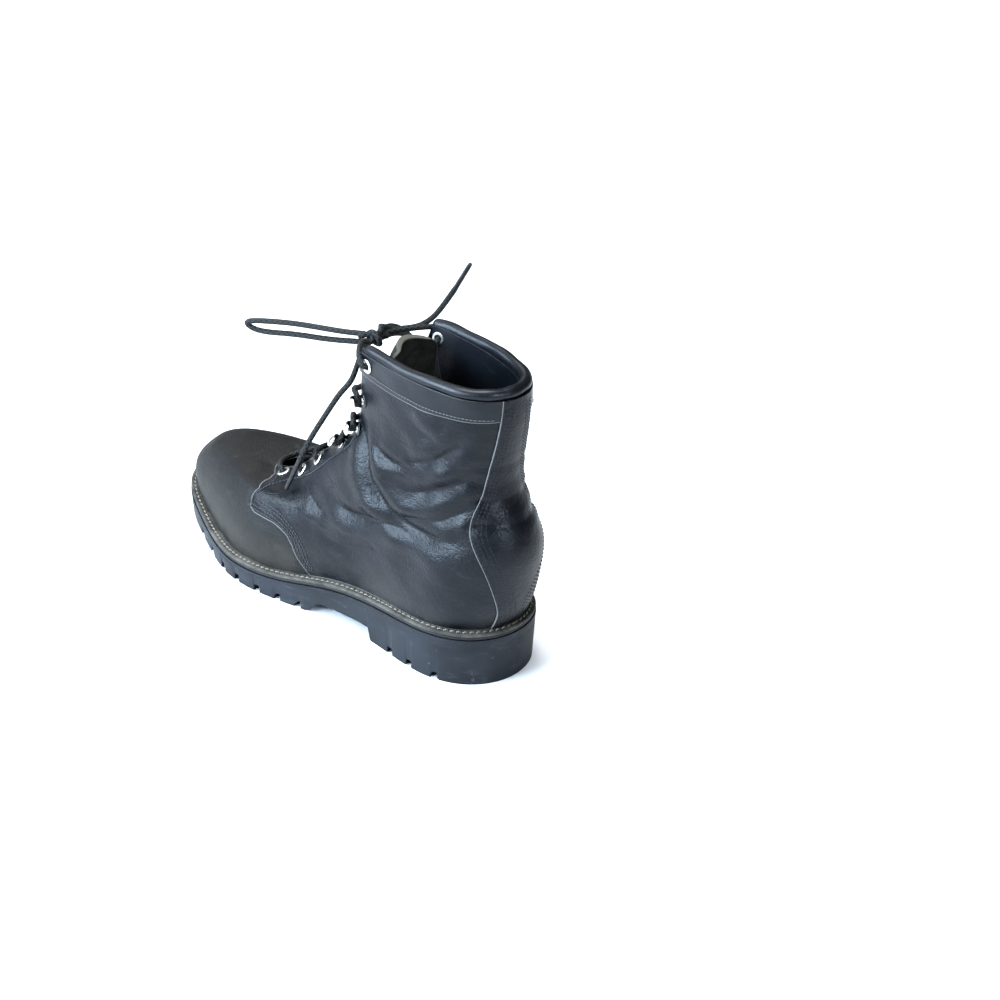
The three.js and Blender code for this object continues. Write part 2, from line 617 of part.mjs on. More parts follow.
function tongueRing(u) {
  const middle = TONGUE_LINE.getPointAt(u);
  const front = SIDEWAYS.clone().cross(TONGUE_LINE.getTangentAt(u));
  const corner = 1 - 0.35 * smooth(0.9, 1, u) ** 2;
  const half = mix(TONGUE_BASE_HALF, TONGUE_HALF_WIDTH, smooth(0, 0.45, u)) * corner;
  const bow = mix(3.5, TONGUE_BOW, smooth(0.1, 0.45, u)) - 3 * smooth(0.75, 1, u);
  const thick = mix(LEATHER + 0.6, TONGUE_THICKNESS, smooth(0.1, 0.4, u));
  const across = spread(1, -1, 6);
  const point = (w, depth) => middle.clone()
    .addScaledVector(SIDEWAYS, w * half)
    .addScaledVector(front, -bow * w * w - depth);
  return [...across.map((w) => point(w, 0)), ...across.reverse().map((w) => point(w, thick))];
}
add('tongue', loft(spread(0, 1, 14).map(tongueRing)), 0x3b3a37, 0.95);

// ---------- eyelets, speed hooks and their rivets ----------
const FLANGE = 0.7;
const STACK_FOOT = LINING_IN - 0.8;

// Place a piece made with +Z outwards, +X away from the facing, at a spot of one side.
function mount(mesh, side, spot) {
  const { place, out, up, away } = frameAt(side, spot[0], spot[1], 0);
  const across = up.clone().cross(out);
  const turn = new THREE.Matrix4().makeBasis(across, out.clone().cross(across), out);
  mesh.quaternion.setFromRotationMatrix(turn);
  if (across.dot(away) < 0) mesh.rotateZ(Math.PI);
  mesh.position.copy(place);
}

const ring = (profile, sides) => {
  const points = profile.map(([radius, height]) => new THREE.Vector2(radius, height));
  const geometry = new THREE.LatheGeometry(points, sides);
  geometry.rotateX(Math.PI / 2);
  return geometry;
};

function eyelet(top) {
  const bore = EYELET_BORE / 2;
  const barrel = bore + BARREL_WALL;
  const flange = EYELET_FLANGE / 2;
  const clinch = flange - 2 * GAP;
  const low = STACK_FOOT - FLANGE;
  return ring([
    [bore, low], [clinch, low], [clinch, STACK_FOOT], [barrel, STACK_FOOT], [barrel, top],
    [flange, top], [flange, top + 0.2], [bore + 1, top + FLANGE + 0.3], [bore, top + FLANGE], [bore, low],
  ], 8);
}

const HOOK_BASE = QUARTER_OUT + 3 * GAP;
const HOOK_RADIUS = 4.6;
const HOOK_RISE = 6.3;
const HOOK_PLATE = 0.8;

function hookSolid() {
  const base = new THREE.CylinderGeometry(HOOK_RADIUS, HOOK_RADIUS, HOOK_PLATE, 9);
  base.rotateX(Math.PI / 2);
  base.translate(0, 0, HOOK_BASE + HOOK_PLATE / 2);
  const arm = new THREE.Shape();
  const foot = HOOK_BASE + 0.1;
  const head = HOOK_BASE + HOOK_RISE;
  arm.moveTo(-3.4, foot);
  arm.lineTo(-4.6, foot + 0.6);
  arm.lineTo(-4.6, head + 0.3);
  arm.lineTo(-3.4, head + 1.2);
  arm.lineTo(-0.5, head + 1.2);
  arm.lineTo(-0.5, head + 0.3);
  arm.lineTo(-3.4, head);
  const strap = new THREE.ExtrudeGeometry(arm, { depth: HOOK_WIDTH, bevelEnabled: false });
  strap.rotateX(Math.PI / 2);
  strap.translate(0, HOOK_WIDTH / 2, 0);
  const cap = new THREE.SphereGeometry(3.6, 8, 5);
  cap.scale(1, 1, 0.4);
  cap.translate(1.2, 0, head + 0.9);
  const bore = new THREE.CylinderGeometry(RIVET_STEM / 2 + 0.2, RIVET_STEM / 2 + 0.2, 4, 6);
  bore.rotateX(Math.PI / 2);
  bore.translate(0, 0, HOOK_BASE);
  return fromSolid(toSolid(base).add(toSolid(strap)).add(toSolid(cap)).subtract(toSolid(bore)));
}

function rivet() {
  const stem = RIVET_STEM / 2;
  const top = HOOK_BASE + HOOK_PLATE + 0.15;
  const clinch = 3;
  const low = STACK_FOOT - FLANGE;
  return ring([
    [0, low], [clinch, low], [clinch, STACK_FOOT], [stem, STACK_FOOT], [stem, top],
    [2.4, top], [1.6, top + 0.7], [0, top + 0.9],
  ], 6);
}

const BAND_SPOT = EYELET_SPOTS.length - 1;
const SEATING = 2 * GAP;
for (const [word, side] of SIDES) {
  EYELET_SPOTS.forEach((spot, i) => {
    const top = (i === BAND_SPOT ? BAND_OUT : QUARTER_OUT) + SEATING;
    mount(add(`eyelet_${word}_${i + 1}`, eyelet(top), 0xb8bcc0, 0.3, 1), side, spot);
  });
  HOOK_SPOTS.forEach((spot, i) => {
    mount(add(`speed_hook_${word}_${i + 1}`, hookSolid(), 0xc9c5b8, 0.3, 1), side, spot);
    mount(add(`hook_rivet_${word}_${i + 1}`, rivet(), 0xa9abad, 0.35, 1), side, spot);
  });
}

// ---------- laces ----------
const LACE = LACE_DIAMETER / 2;
const OVER_QUARTER = QUARTER_OUT + SEATING + FLANGE + 2 * GAP + LACE;
const OVER_BAND = BACKSTAY_OUT + SEATING + FLANGE + 4 * GAP + LACE;
const OVER_FACING = BACKSTAY_OUT + GAP + LACE;
// Heights over the skin at which the two halves of the lace cross, one over the other.
const LOW_CROSSING = -7.7 + LACE;
const HIGH_CROSSING = LOW_CROSSING + LACE_DIAMETER + 0.8;
const LACE_LEVELS = [
  ...EYELET_SPOTS.slice(0, 3).map((spot) => ({ spot, height: OVER_QUARTER, half: 2.8, reach: 1.2 })),
  ...HOOK_SPOTS.map((spot) => ({ spot, height: OVER_QUARTER + 0.8, half: 5.2, reach: 1.4 })),
  { spot: EYELET_SPOTS[3], height: OVER_BAND, half: 2.8, reach: 1.2 },
];
const KNOT = new THREE.Vector3(6, 27, COLLAR_HEIGHT - 11);
const KNOT_SIZE = new THREE.Vector3(8, 6, 5.5);

// One half of the lacing: from the middle of the lowest bar, zigzag up to the knot.
function laceRun(firstSide, crossing, knotEnd) {
  const start = layer(firstSide * rad(1), 0.417, SEATING);
  const points = [start.add(new THREE.Vector3(firstSide * SEATING, 0, 0))];
  let side = firstSide;
  LACE_LEVELS.forEach(({ spot, height, half, reach }, i) => {
    const { place, up, away } = frameAt(side, spot[0], spot[1], height);
    const at = (rise, out) => place.clone().addScaledVector(up, rise).addScaledVector(away, out);
    points.push(at(-half, -3.2), at(0, reach), at(half, -3.2));
    if (i === LACE_LEVELS.length - 1) return;
    const next = LACE_LEVELS[i + 1].spot;
    const edge = (share) => mix(spot[1], next[1], share);
    const low = edge(0.3);
    const middle = edge(0.5);
    const high = edge(0.7);
    points.push(layer(side * rad(facingPhi(low) - 3), low, OVER_FACING));
    points.push(layer(0, middle, crossing));
    points.push(layer(-side * rad(facingPhi(high) - 3), high, OVER_FACING));
    side = -side;
  });
  points.push(...knotEnd);
  return tube(points, LACE, 8, 78);
}
const knotPoint = (x, y, z) => KNOT.clone().add(new THREE.Vector3(x, y, z));
const firstEnd = [knotPoint(12, 1, 1), knotPoint(9, 0, 0)];
const secondEnd = [knotPoint(-14, 0, 0), knotPoint(-9, 0, 0)];
const LACE_COLOUR = 0x1b1b1c;
add('lace_run_first', laceRun(1, HIGH_CROSSING, firstEnd), LACE_COLOUR, 0.9);
add('lace_run_second', laceRun(-1, LOW_CROSSING, secondEnd), LACE_COLOUR, 0.9);

const knot = new THREE.SphereGeometry(1, 10, 6);
knot.scale(KNOT_SIZE.x, KNOT_SIZE.y, KNOT_SIZE.z);
add('lace_knot', knot, LACE_COLOUR, 0.9).position.copy(KNOT);

// Free stretches of the lace, each a route of its own from the knot, which they follow
// if the collar is made higher or lower.
const KNOT_RISE = KNOT.z - 191;
const route = (list) => list.map(([x, y, z]) => new THREE.Vector3(x, y, z + KNOT_RISE));
const LONG_LOOP = route([
  [8, 20.6, 192.4], [14.6, 7, 191.4], [24.6, -19.4, 190], [33.5, -42.8, 187.1], [38.1, -54.5, 183.5],
  [36.2, -50, 180.3], [27.2, -26.1, 182.1], [18.3, -2.9, 184], [9.6, 19, 187],
]);
const SHORT_LOOP = route([
  [-0.1, 22.4, 189.6], [-14, 14, 187], [-28, 8, 182], [-42, 6, 172], [-50, 10, 160], [-53, 14, 150],
  [-53, 18, 147], [-51, 19, 156], [-44, 14, 168], [-30, 13, 178], [-14, 17.5, 183.5], [-3, 20.3, 185],
]);
const HANGING_END = route([
  [8, 22.4, 186], [10, 19, 178], [13.9, 15, 161.7], [15.9, 8, 151.1], [17.9, -1, 136.7],
  [20.9, -10, 120.2], [24, -15, 108.9], [27.5, -19, 97],
]);
const RAISED_END = route([
  [0.2, 26.6, 197], [-6, 23.5, 193.5], [-12, 23, 190], [-22, 23, 187.5], [-31, 26.5, 187.5],
  [-37.5, 31, 191.5], [-40.5, 37, 200], [-41.5, 47.8, 216.3],
]);
add('lace_long_loop', tube(LONG_LOOP, LACE, 8, 28), LACE_COLOUR, 0.9);
add('lace_short_loop', tube(SHORT_LOOP, LACE, 8, 28), LACE_COLOUR, 0.9);
add('lace_hanging_end', tube(HANGING_END, LACE, 8, 16), LACE_COLOUR, 0.9);
add('lace_raised_end', tube(RAISED_END, LACE, 8, 14), LACE_COLOUR, 0.9);

function aglet(name, from, to) {
  const along = to.clone().sub(from);
  const length = along.length();
  const pin = new THREE.CylinderGeometry(1.1, 1.6, length, 10);
  pin.translate(0, length / 2 + GAP, 0);
  const mesh = add(name, pin, 0x101010, 0.35);
  mesh.quaternion.setFromUnitVectors(new THREE.Vector3(0, 1, 0), along.normalize());
  mesh.position.copy(from);
}
aglet('aglet_hanging', HANGING_END[HANGING_END.length - 1], new THREE.Vector3(33.5, -26, 75 + KNOT_RISE));
aglet('aglet_raised', RAISED_END[RAISED_END.length - 1], new THREE.Vector3(-43.1, 58.4, 235.2 + KNOT_RISE));

export default boot;
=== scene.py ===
# %% [markdown]
# # A steel toe work boot
# A left work boot with a six inch shaft: a plain round toe over a steel cap, leather
# quarters laced over a loose tongue, a stitched welt and a one-piece lug sole. The packed
# model gives the frame, in metres, toe towards -Y and outer side towards +X.

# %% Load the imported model
import math
import bmesh
import bpy
import numpy as np
from mathutils import Matrix, Vector


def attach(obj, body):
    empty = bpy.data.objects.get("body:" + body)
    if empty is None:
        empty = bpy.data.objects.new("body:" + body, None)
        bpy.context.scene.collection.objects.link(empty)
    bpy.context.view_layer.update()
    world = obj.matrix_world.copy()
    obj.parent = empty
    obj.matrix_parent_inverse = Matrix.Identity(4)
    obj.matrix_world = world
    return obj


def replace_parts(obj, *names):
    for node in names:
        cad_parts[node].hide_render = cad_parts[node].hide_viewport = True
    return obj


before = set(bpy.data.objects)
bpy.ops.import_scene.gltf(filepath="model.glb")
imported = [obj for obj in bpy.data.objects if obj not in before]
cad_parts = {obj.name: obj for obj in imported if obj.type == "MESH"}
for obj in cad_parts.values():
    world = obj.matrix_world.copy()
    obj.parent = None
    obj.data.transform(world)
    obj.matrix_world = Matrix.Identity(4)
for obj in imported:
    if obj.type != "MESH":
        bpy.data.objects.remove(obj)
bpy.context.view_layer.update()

MM = 0.001

# %% [markdown]
# ## The camera
# It looks down at the outer side from behind the heel, from about 1.3 m away. It aims
# with a turn alone and needs no lens shift: it first faces a point in the boot, then
# turns until that point lies left of the middle of the view.

# %% Make the camera
AIM = Vector((-0.0021, -0.0043, 0.080))
AZIMUTH, ELEVATION, ROLL = math.radians(137.44), math.radians(29.16), math.radians(-0.2)
DISTANCE = 1.277
FOCUS = 1.967
AIM_ACROSS, AIM_UP = -0.14985, 0.02507

back = Vector((math.sin(AZIMUTH) * math.cos(ELEVATION),
               -math.cos(AZIMUTH) * math.cos(ELEVATION), math.sin(ELEVATION)))
camera = bpy.data.objects.new("camera", bpy.data.cameras.new("camera"))
bpy.context.scene.collection.objects.link(camera)
bpy.context.scene.camera = camera
camera.data.lens = camera.data.sensor_width * FOCUS
camera.location = AIM + DISTANCE * back
facing = back.to_track_quat("Z", "Y")
off_axis = Vector((AIM_ACROSS / FOCUS, AIM_UP / FOCUS, -1)).rotation_difference(Vector((0, 0, -1)))
camera.rotation_mode = "QUATERNION"
camera.rotation_quaternion = facing @ Matrix.Rotation(ROLL, 4, "Z").to_quaternion() @ off_axis
print("lens in mm:", round(camera.data.lens, 1))

# %% [markdown]
# ## Curves as sums of numbers
# A shoemaker's last has no straight lines, so its widths and heights are smooth curves
# through a few measured places. The natural cubic spline bends evenly from one place to
# the next, and it is worked out for whole arrays at once.

# %% Splines and small maths
def mix(a, b, t):
    """a where t is 0, b where t is 1, and in proportion between."""
    return a + (b - a) * t


def smooth(low, high, x):
    """0 below low, 1 above high, and an S-shaped climb, 3t^2 - 2t^3, between them."""
    t = np.clip((x - low) / (high - low), 0, 1)
    return t * t * (3 - 2 * t)


def spline(xs, ys):
    """Natural cubic spline: the bends at the inner places make slope and bend run on."""
    xs, ys = np.asarray(xs, float), np.asarray(ys, float)
    h = np.diff(xs)
    count = len(xs)
    system, pull = np.eye(count), np.zeros_like(ys)
    for i in range(1, count - 1):
        system[i, i - 1:i + 2] = h[i - 1], 2 * (h[i - 1] + h[i]), h[i]
        pull[i] = 6 * ((ys[i + 1] - ys[i]) / h[i] - (ys[i] - ys[i - 1]) / h[i - 1])
    bend = np.linalg.solve(system, pull)

    def at(x):
        x = np.asarray(x, float)
        i = np.clip(np.searchsorted(xs, x, side="right") - 1, 0, count - 2)
        b = (x - xs[i]) / h[i]
        a, step = 1 - b, h[i] ** 2 / 6
        if ys.ndim > 1:
            a, b, step = a[..., None], b[..., None], step[..., None]
        return (a * ys[i] + b * ys[i + 1]
                + ((a ** 3 - a) * bend[i] + (b ** 3 - b) * bend[i + 1]) * step)
    return at


def polyline(xs, ys):
    """Straight lines through the places, level past both ends."""
    return lambda x: np.interp(x, xs, ys)


def along(points, spacing):
    """Points a fixed spacing apart on a smooth curve through the given ones. The curve's
    parameter grows with the square root of each chord, which keeps bends from looping."""
    points = np.asarray(points, float)
    knots = np.r_[0, np.cumsum(np.sqrt(np.linalg.norm(np.diff(points, axis=0), axis=1)))]
    fine = spline(knots, points)(np.linspace(0, knots[-1], 60 * len(points)))
    run = np.r_[0, np.cumsum(np.linalg.norm(np.diff(fine, axis=0), axis=1))]
    places = np.linspace(0, run[-1], max(2, int(round(run[-1] / spacing)) + 1))
    return np.stack([np.interp(places, run, fine[:, k]) for k in range(3)], 1)


def unit(vectors):
    """Each vector at length one."""
    return vectors / (np.linalg.norm(vectors, axis=-1, keepdims=True) + 1e-12)

# %% [markdown]
# ## The surface of the upper
# Every leather piece lies on one surface, skin(phi, v). phi runs round the foot from the
# toe (0 degrees) over the outer side to the heel (180), and to -180 on the inner side. v
# climbs from the welt (0) to the collar (1). A layer of leather is this surface moved
# along its outward normal.

# %% The skin of the boot
SOLE_LENGTH, TOE_Y = 304, -156
FEATHER_INSET, COLLAR_X, ANKLE_V = 7, 1.9, 0.6
STATIONS = [0, 0.1, 0.3, 0.5, 0.7, 0.9, 1]
LEVELS = [0, 0.12, 0.3, 0.5, 0.75, 1]
SOLE_LATERAL = np.array([71, 61, 61.5, 48.5, 43.5, 66, 79])
SOLE_MEDIAL = np.array([51, 59.5, 57, 43, 42, 65, 84])
DRAW_IN = 0.6
WIDTH_LATERAL = np.array([
    SOLE_LATERAL - FEATHER_INSET, SOLE_LATERAL - FEATHER_INSET - DRAW_IN,
    [39, 42.5, 42, 36, 35.5, 51.5, 62], [40, 37.5, 35, 33.5, 33, 40, 47.5],
    [41, 35.5, 32.5, 32, 32.5, 36, 39], [56, 42.5, 31, 29.5, 30.5, 35.5, 38.5]])
WIDTH_MEDIAL = np.array([
    SOLE_MEDIAL - FEATHER_INSET, SOLE_MEDIAL - FEATHER_INSET - DRAW_IN,
    [40.5, 41, 40, 37, 37, 53.5, 65], [43, 40.5, 37.5, 35.5, 34.5, 42, 49],
    [46, 43, 37.5, 36, 35, 38, 41], [62, 54, 41, 36, 34, 36, 40]])
centre_x = spline([0, 0.5, 1], [-7, -1, -1])
feather_z = spline(TOE_Y + np.array([0, 32, 62, 102, 142, 177, 207, 237, 304]),
                   [31.5, 24.2, 19.5, 18.5, 21.2, 27.6, 31, 34.3, 37.8])
FRONT_V = [0, 0.08, 0.16, 0.25, 0.36, 0.48, 0.6, 0.74, 0.87, 1]
front_y = spline(FRONT_V, TOE_Y + np.array([7, 5, 15, 33, 72.5, 109, 136.5, 169, 181, 181.5]))
front_z = spline(FRONT_V, [30.5, 43, 55, 65.5, 66.5, 74.5, 97.5, 124.5, 157.5, 202])
BACK_V = [0, 0.1, 0.25, 0.4, 0.55, 0.7, 0.85, 1]
back_y = spline(BACK_V, TOE_Y + np.array([297, 302, 307, 309, 297, 293.5, 297.5, 298]))
back_z = spline(BACK_V, [36.5, 49.5, 71, 96.5, 120.5, 145.5, 174.5, 198])
by_station, by_level = spline(STATIONS, np.eye(7)), spline(LEVELS, np.eye(6))


def skin(phi, v):
    """A point of the upper, in mm. t = (1 - cos phi) / 2 goes from toe to heel, y and z
    slide from the front line to the back line with t, and x is sin phi times the half
    width at that height and station. Low down, z follows the curve of the sole."""
    t = (1 - np.cos(phi)) / 2
    foot_y = mix(front_y(0), back_y(0), t)
    low = np.maximum(0, 1 - v / ANKLE_V) ** 2
    across, up = by_station(t), by_level(v)
    lateral = np.einsum("...l,lk,...k", up, WIDTH_LATERAL, across)
    medial = np.einsum("...l,lk,...k", up, WIDTH_MEDIAL, across)
    width = np.where(np.sin(phi) >= 0, lateral, medial)
    x = centre_x(t) * np.maximum(0, 1 - v) ** 1.5 + COLLAR_X * v + np.sin(phi) * width
    y = mix(front_y(v), back_y(v), t)
    z = mix(front_z(v), back_z(v), t) + (feather_z(foot_y) - mix(front_z(0), back_z(0), t)) * low
    return np.stack([x, y, z], -1)


def outward(phi, v):
    """Unit normal of the skin: the slope round the foot crossed with the slope upwards."""
    e = 0.002
    normal = np.cross(skin(phi + e, v) - skin(phi - e, v),
                      skin(phi, np.minimum(1, v + e)) - skin(phi, np.maximum(0, v - e)))
    normal[..., 2] *= smooth(0, 0.03, v)
    return unit(normal)


def layer(phi, v, offset):
    """The skin moved outwards by offset, in mm."""
    phi, v = np.broadcast_arrays(np.asarray(phi, float), np.asarray(v, float))
    return skin(phi, v) + outward(phi, v) * np.asarray(offset)[..., None]


sole_lateral, sole_medial = spline(STATIONS, SOLE_LATERAL), spline(STATIONS, SOLE_MEDIAL)


def outline(phi, inset):
    """The edge of the sole seen from above, moved inwards by inset."""
    def edge(angle):
        t = (1 - np.cos(angle)) / 2
        width = np.where(np.sin(angle) >= 0, sole_lateral(t), sole_medial(t))
        return np.stack([centre_x(t) + np.sin(angle) * width, TOE_Y + SOLE_LENGTH * t], -1)
    run = unit(edge(phi + 0.002) - edge(phi - 0.002))
    inwards = np.stack([-run[..., 1], run[..., 0]], -1)
    return edge(phi) + inwards * np.asarray(inset)[..., None]


print("collar front and back, in mm:", skin(np.array([0, math.pi]), np.array([1, 1])).round(1))

# %% [markdown]
# ## From a grid of points to a mesh
# A piece is a grid of points, rows by columns. Neighbours are joined into four-sided
# faces, and a grid that goes all the way round joins its last row to its first. Two
# attributes ride along: where the point lies on the piece, for patterns that follow the
# surface, and how near it is to a cut edge, for wear.

# %% Grids, tubes and rings
def link(name, mesh, material, body="boot"):
    """Put a finished mesh into the scene as a piece that rides on a body."""
    piece = bpy.data.objects.new(name, mesh)
    bpy.context.scene.collection.objects.link(piece)
    mesh.materials.append(material)
    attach(piece, body)
    return piece


def grid_faces(rows, columns, round_rows=False, round_columns=False):
    """Corner numbers of the faces between each point and the next in both directions."""
    i = np.arange(rows if round_rows else rows - 1)[:, None]
    j = np.arange(columns if round_columns else columns - 1)[None, :]
    k, m = (i + 1) % rows, (j + 1) % columns
    corners = [i * columns + j, k * columns + j, k * columns + m, i * columns + m]
    return np.stack([c.ravel() for c in corners], 1)


def mesh_of(name, points, faces, crease=40, place=None, edge=None):
    """A mesh from points in mm and faces, smooth but for angles over crease degrees. Its
    signed volume tells whether its faces point outwards, and turns them if they don't."""
    mesh = bpy.data.meshes.new(name)
    mesh.from_pydata((np.asarray(points).reshape(-1, 3) * MM).tolist(), [], [list(f) for f in faces])
    corners = np.empty(len(mesh.loops), np.int32)
    mesh.loops.foreach_get("vertex_index", corners)
    if place is not None:
        uv = mesh.uv_layers.new(name="place")
        uv.data.foreach_set("uv", np.asarray(place, np.float32).reshape(-1, 2)[corners].ravel())
    if edge is not None:
        cut = mesh.attributes.new("cut_edge", "FLOAT", "POINT")
        cut.data.foreach_set("value", np.asarray(edge, np.float32).ravel())
    solid = bmesh.new()
    solid.from_mesh(mesh)
    if solid.calc_volume(signed=True) < 0:
        mesh.flip_normals()
    solid.free()
    mesh.shade_smooth()
    mesh.set_sharp_from_angle(angle=math.radians(crease))
    return mesh


def shell(outer, inner):
    """Points and faces of a leather piece: its outer face, its inner face turned over,
    and a strip along each of the four sides."""
    rows, columns = outer.shape[:2]
    half = rows * columns
    front = grid_faces(rows, columns)
    faces = [front, front[:, ::-1] + half]
    walk, step = np.arange(rows), np.arange(columns)
    for line, turned in ((walk * columns, False), (walk * columns + columns - 1, True),
                         (step, True), (step + (rows - 1) * columns, False)):
        a, b = line[:-1], line[1:]
        strip = np.stack([b, a, a + half, b + half], 1)
        faces.append(strip[:, ::-1] if turned else strip)
    return np.concatenate([outer.reshape(-1, 3), inner.reshape(-1, 3)]), np.concatenate(faces)


def round_edges(piece, width, segments=2, angle=60):
    """Round every edge sharper than angle degrees, to width in mm."""
    bevel = piece.modifiers.new("rounded_edges", "BEVEL")
    bevel.width, bevel.segments, bevel.limit_method = width * MM, segments, "ANGLE"
    bevel.angle_limit = math.radians(angle)


def frames(path, closed=False):
    """Directions along a path and two across it that turn as little as they can."""
    ahead = np.roll(path, -1, 0) - np.roll(path, 1, 0)
    if not closed:
        ahead[0], ahead[-1] = path[1] - path[0], path[-1] - path[-2]
    ahead = unit(ahead)
    side = np.empty_like(path)
    start = np.cross(ahead[0], (0.3, 0.2, 1))
    for i, direction in enumerate(ahead):
        start = start - direction * start.dot(direction)
        start = start / np.linalg.norm(start)
        side[i] = start
    return ahead, side, np.cross(ahead, side)


def tube_grid(path, radius, sides, closed=False, rounded=True):
    """Rings of points round a path. At the ends of an open path, the radius closes down
    over one radius as the square root of 1 - x^2, as on a ball."""
    path = np.asarray(path, float)
    radius = np.broadcast_to(np.asarray(radius, float), len(path)).copy()
    if not closed and rounded:
        cap = radius[0] * np.cos(np.linspace(1.5, 0.35, 4))
        tail = radius[-1] * np.cos(np.linspace(0.35, 1.5, 4))
        first, last = unit(path[0] - path[1]), unit(path[-1] - path[-2])
        rise = np.sin(np.linspace(1.5, 0.35, 4))[:, None]
        path = np.concatenate([path[0] + first * radius[0] * rise, path,
                               path[-1] + last * radius[-1] * rise[::-1]])
        radius = np.concatenate([cap, radius, tail])
    _, side, over = frames(path, closed)
    turn = np.linspace(0, 2 * math.pi, sides, endpoint=False)
    ring = (side[:, None] * np.cos(turn)[:, None] + over[:, None] * np.sin(turn)[:, None])
    return path[:, None] + ring * radius[:, None, None], path


def tube(name, path, radius, material, sides=16, closed=False, body="boot", rounded=True):
    """A closed tube along a path in mm, with its length and turn kept as its place."""
    grid, line = tube_grid(path, radius, sides, closed, rounded)
    rows = len(grid)
    faces = grid_faces(rows, sides, round_rows=closed, round_columns=True)
    faces = [tuple(face) for face in faces]
    if not closed:
        faces += [tuple(range(sides)), tuple(range(rows * sides - 1, (rows - 1) * sides - 1, -1))]
    run = np.r_[0, np.cumsum(np.linalg.norm(np.diff(line, axis=0), axis=1))] * MM
    place = np.stack(np.broadcast_arrays(run[:, None], np.arange(sides)[None] / sides), -1)
    return link(name, mesh_of(name, grid, faces, 60, place), material, body)

# %% [markdown]
# ## Shader sums written as sums
# A finish is worked out from patterns, such as grain and scuffs. A small class wraps a
# socket so that patterns are added and multiplied as numbers are, and each operation
# adds its own Math node.

# %% Sockets that can be added and multiplied
class Value:
    """An output socket. Sums and products of it add Math nodes to its finish."""

    def __init__(self, finish, socket):
        self.finish, self.socket = finish, socket

    def math(self, operation, *others, flip=False):
        terms = [*others, self] if flip else [self, *others]
        return self.finish.node("ShaderNodeMath", {"operation": operation}, dict(enumerate(terms)))

    def __add__(self, other):
        return self.math("ADD", other)

    def __sub__(self, other):
        return self.math("SUBTRACT", other)

    def __rsub__(self, other):
        return self.math("SUBTRACT", other, flip=True)

    def __mul__(self, other):
        return self.math("MULTIPLY", other)

    __radd__, __rmul__ = __add__, __mul__

    def step(self, low, high):
        """0 below low, 1 above high, and an S-shaped climb between them."""
        return self.finish.node("ShaderNodeMapRange", {"interpolation_type": "SMOOTHSTEP"},
                                {"Value": self, "From Min": low, "From Max": high})


class Finish:
    """A material under construction, with its one shader."""

    def __init__(self, name):
        self.material = bpy.data.materials.new(name)
        self.material.use_nodes = True
        self.tree = self.material.node_tree
        self.shader = self.tree.nodes["Principled BSDF"]
        self.place = self.node("ShaderNodeTexCoord", out="Object")

    def node(self, kind, settings=None, inputs=None, out=0):
        """A node of any kind, its settings made first, then its sockets filled or linked."""
        made = self.tree.nodes.new(kind)
        for key, value in (settings or {}).items():
            setattr(made, key, value)
        for key, value in (inputs or {}).items():
            self.fill(made.inputs[key], value)
        return Value(self, made.outputs[out])

    def fill(self, socket, value):
        if isinstance(value, Value):
            self.tree.links.new(value.socket, socket)
        else:
            socket.default_value = (*value, 1) if isinstance(value, tuple) and len(value) == 3 \
                and socket.type == "RGBA" else value

    def stretched(self, sizes, source=None):
        """Object coordinates multiplied axis by axis, which narrows a pattern."""
        return self.node("ShaderNodeMapping", None,
                         {"Vector": source or self.place, "Scale": sizes})

    def noise(self, scale, detail=4.0, rough=0.55, place=None):
        return self.node("ShaderNodeTexNoise", None, {
            "Vector": place or self.place, "Scale": scale, "Detail": detail, "Roughness": rough})

    def cells(self, scale, place=None, feature="F1"):
        return self.node("ShaderNodeTexVoronoi", {"feature": feature},
                         {"Vector": place or self.place, "Scale": scale})

    def attribute(self, name):
        return self.node("ShaderNodeAttribute", {"attribute_name": name}, out="Fac")

    def colour(self, first, second, share):
        """The first colour where share is 0, the second where it is 1."""
        return self.node("ShaderNodeMix", {"data_type": "RGBA"},
                         {0: share, 6: first, 7: second}, out=2)

    def done(self, height=None, depth=0.0002, strength=0.6, **inputs):
        """Fill the shader's sockets, with a height in depths of metres as its bump."""
        if height is not None:
            inputs["Normal"] = self.node("ShaderNodeBump", None, {
                "Height": height, "Distance": depth, "Strength": strength})
        for key, value in inputs.items():
            self.fill(self.shader.inputs[key.replace("_", " ")], value)
        return self.material

# %% [markdown]
# ## Leather
# Full grain leather has pores, here about 1.6 mm apart, a net of fine creases about 4 mm
# wide, broad patches that took more or less polish, and pale scuffs. The quarters keep a satin
# shine. The toe has lost it and holds dust. Cut edges show the paler core.

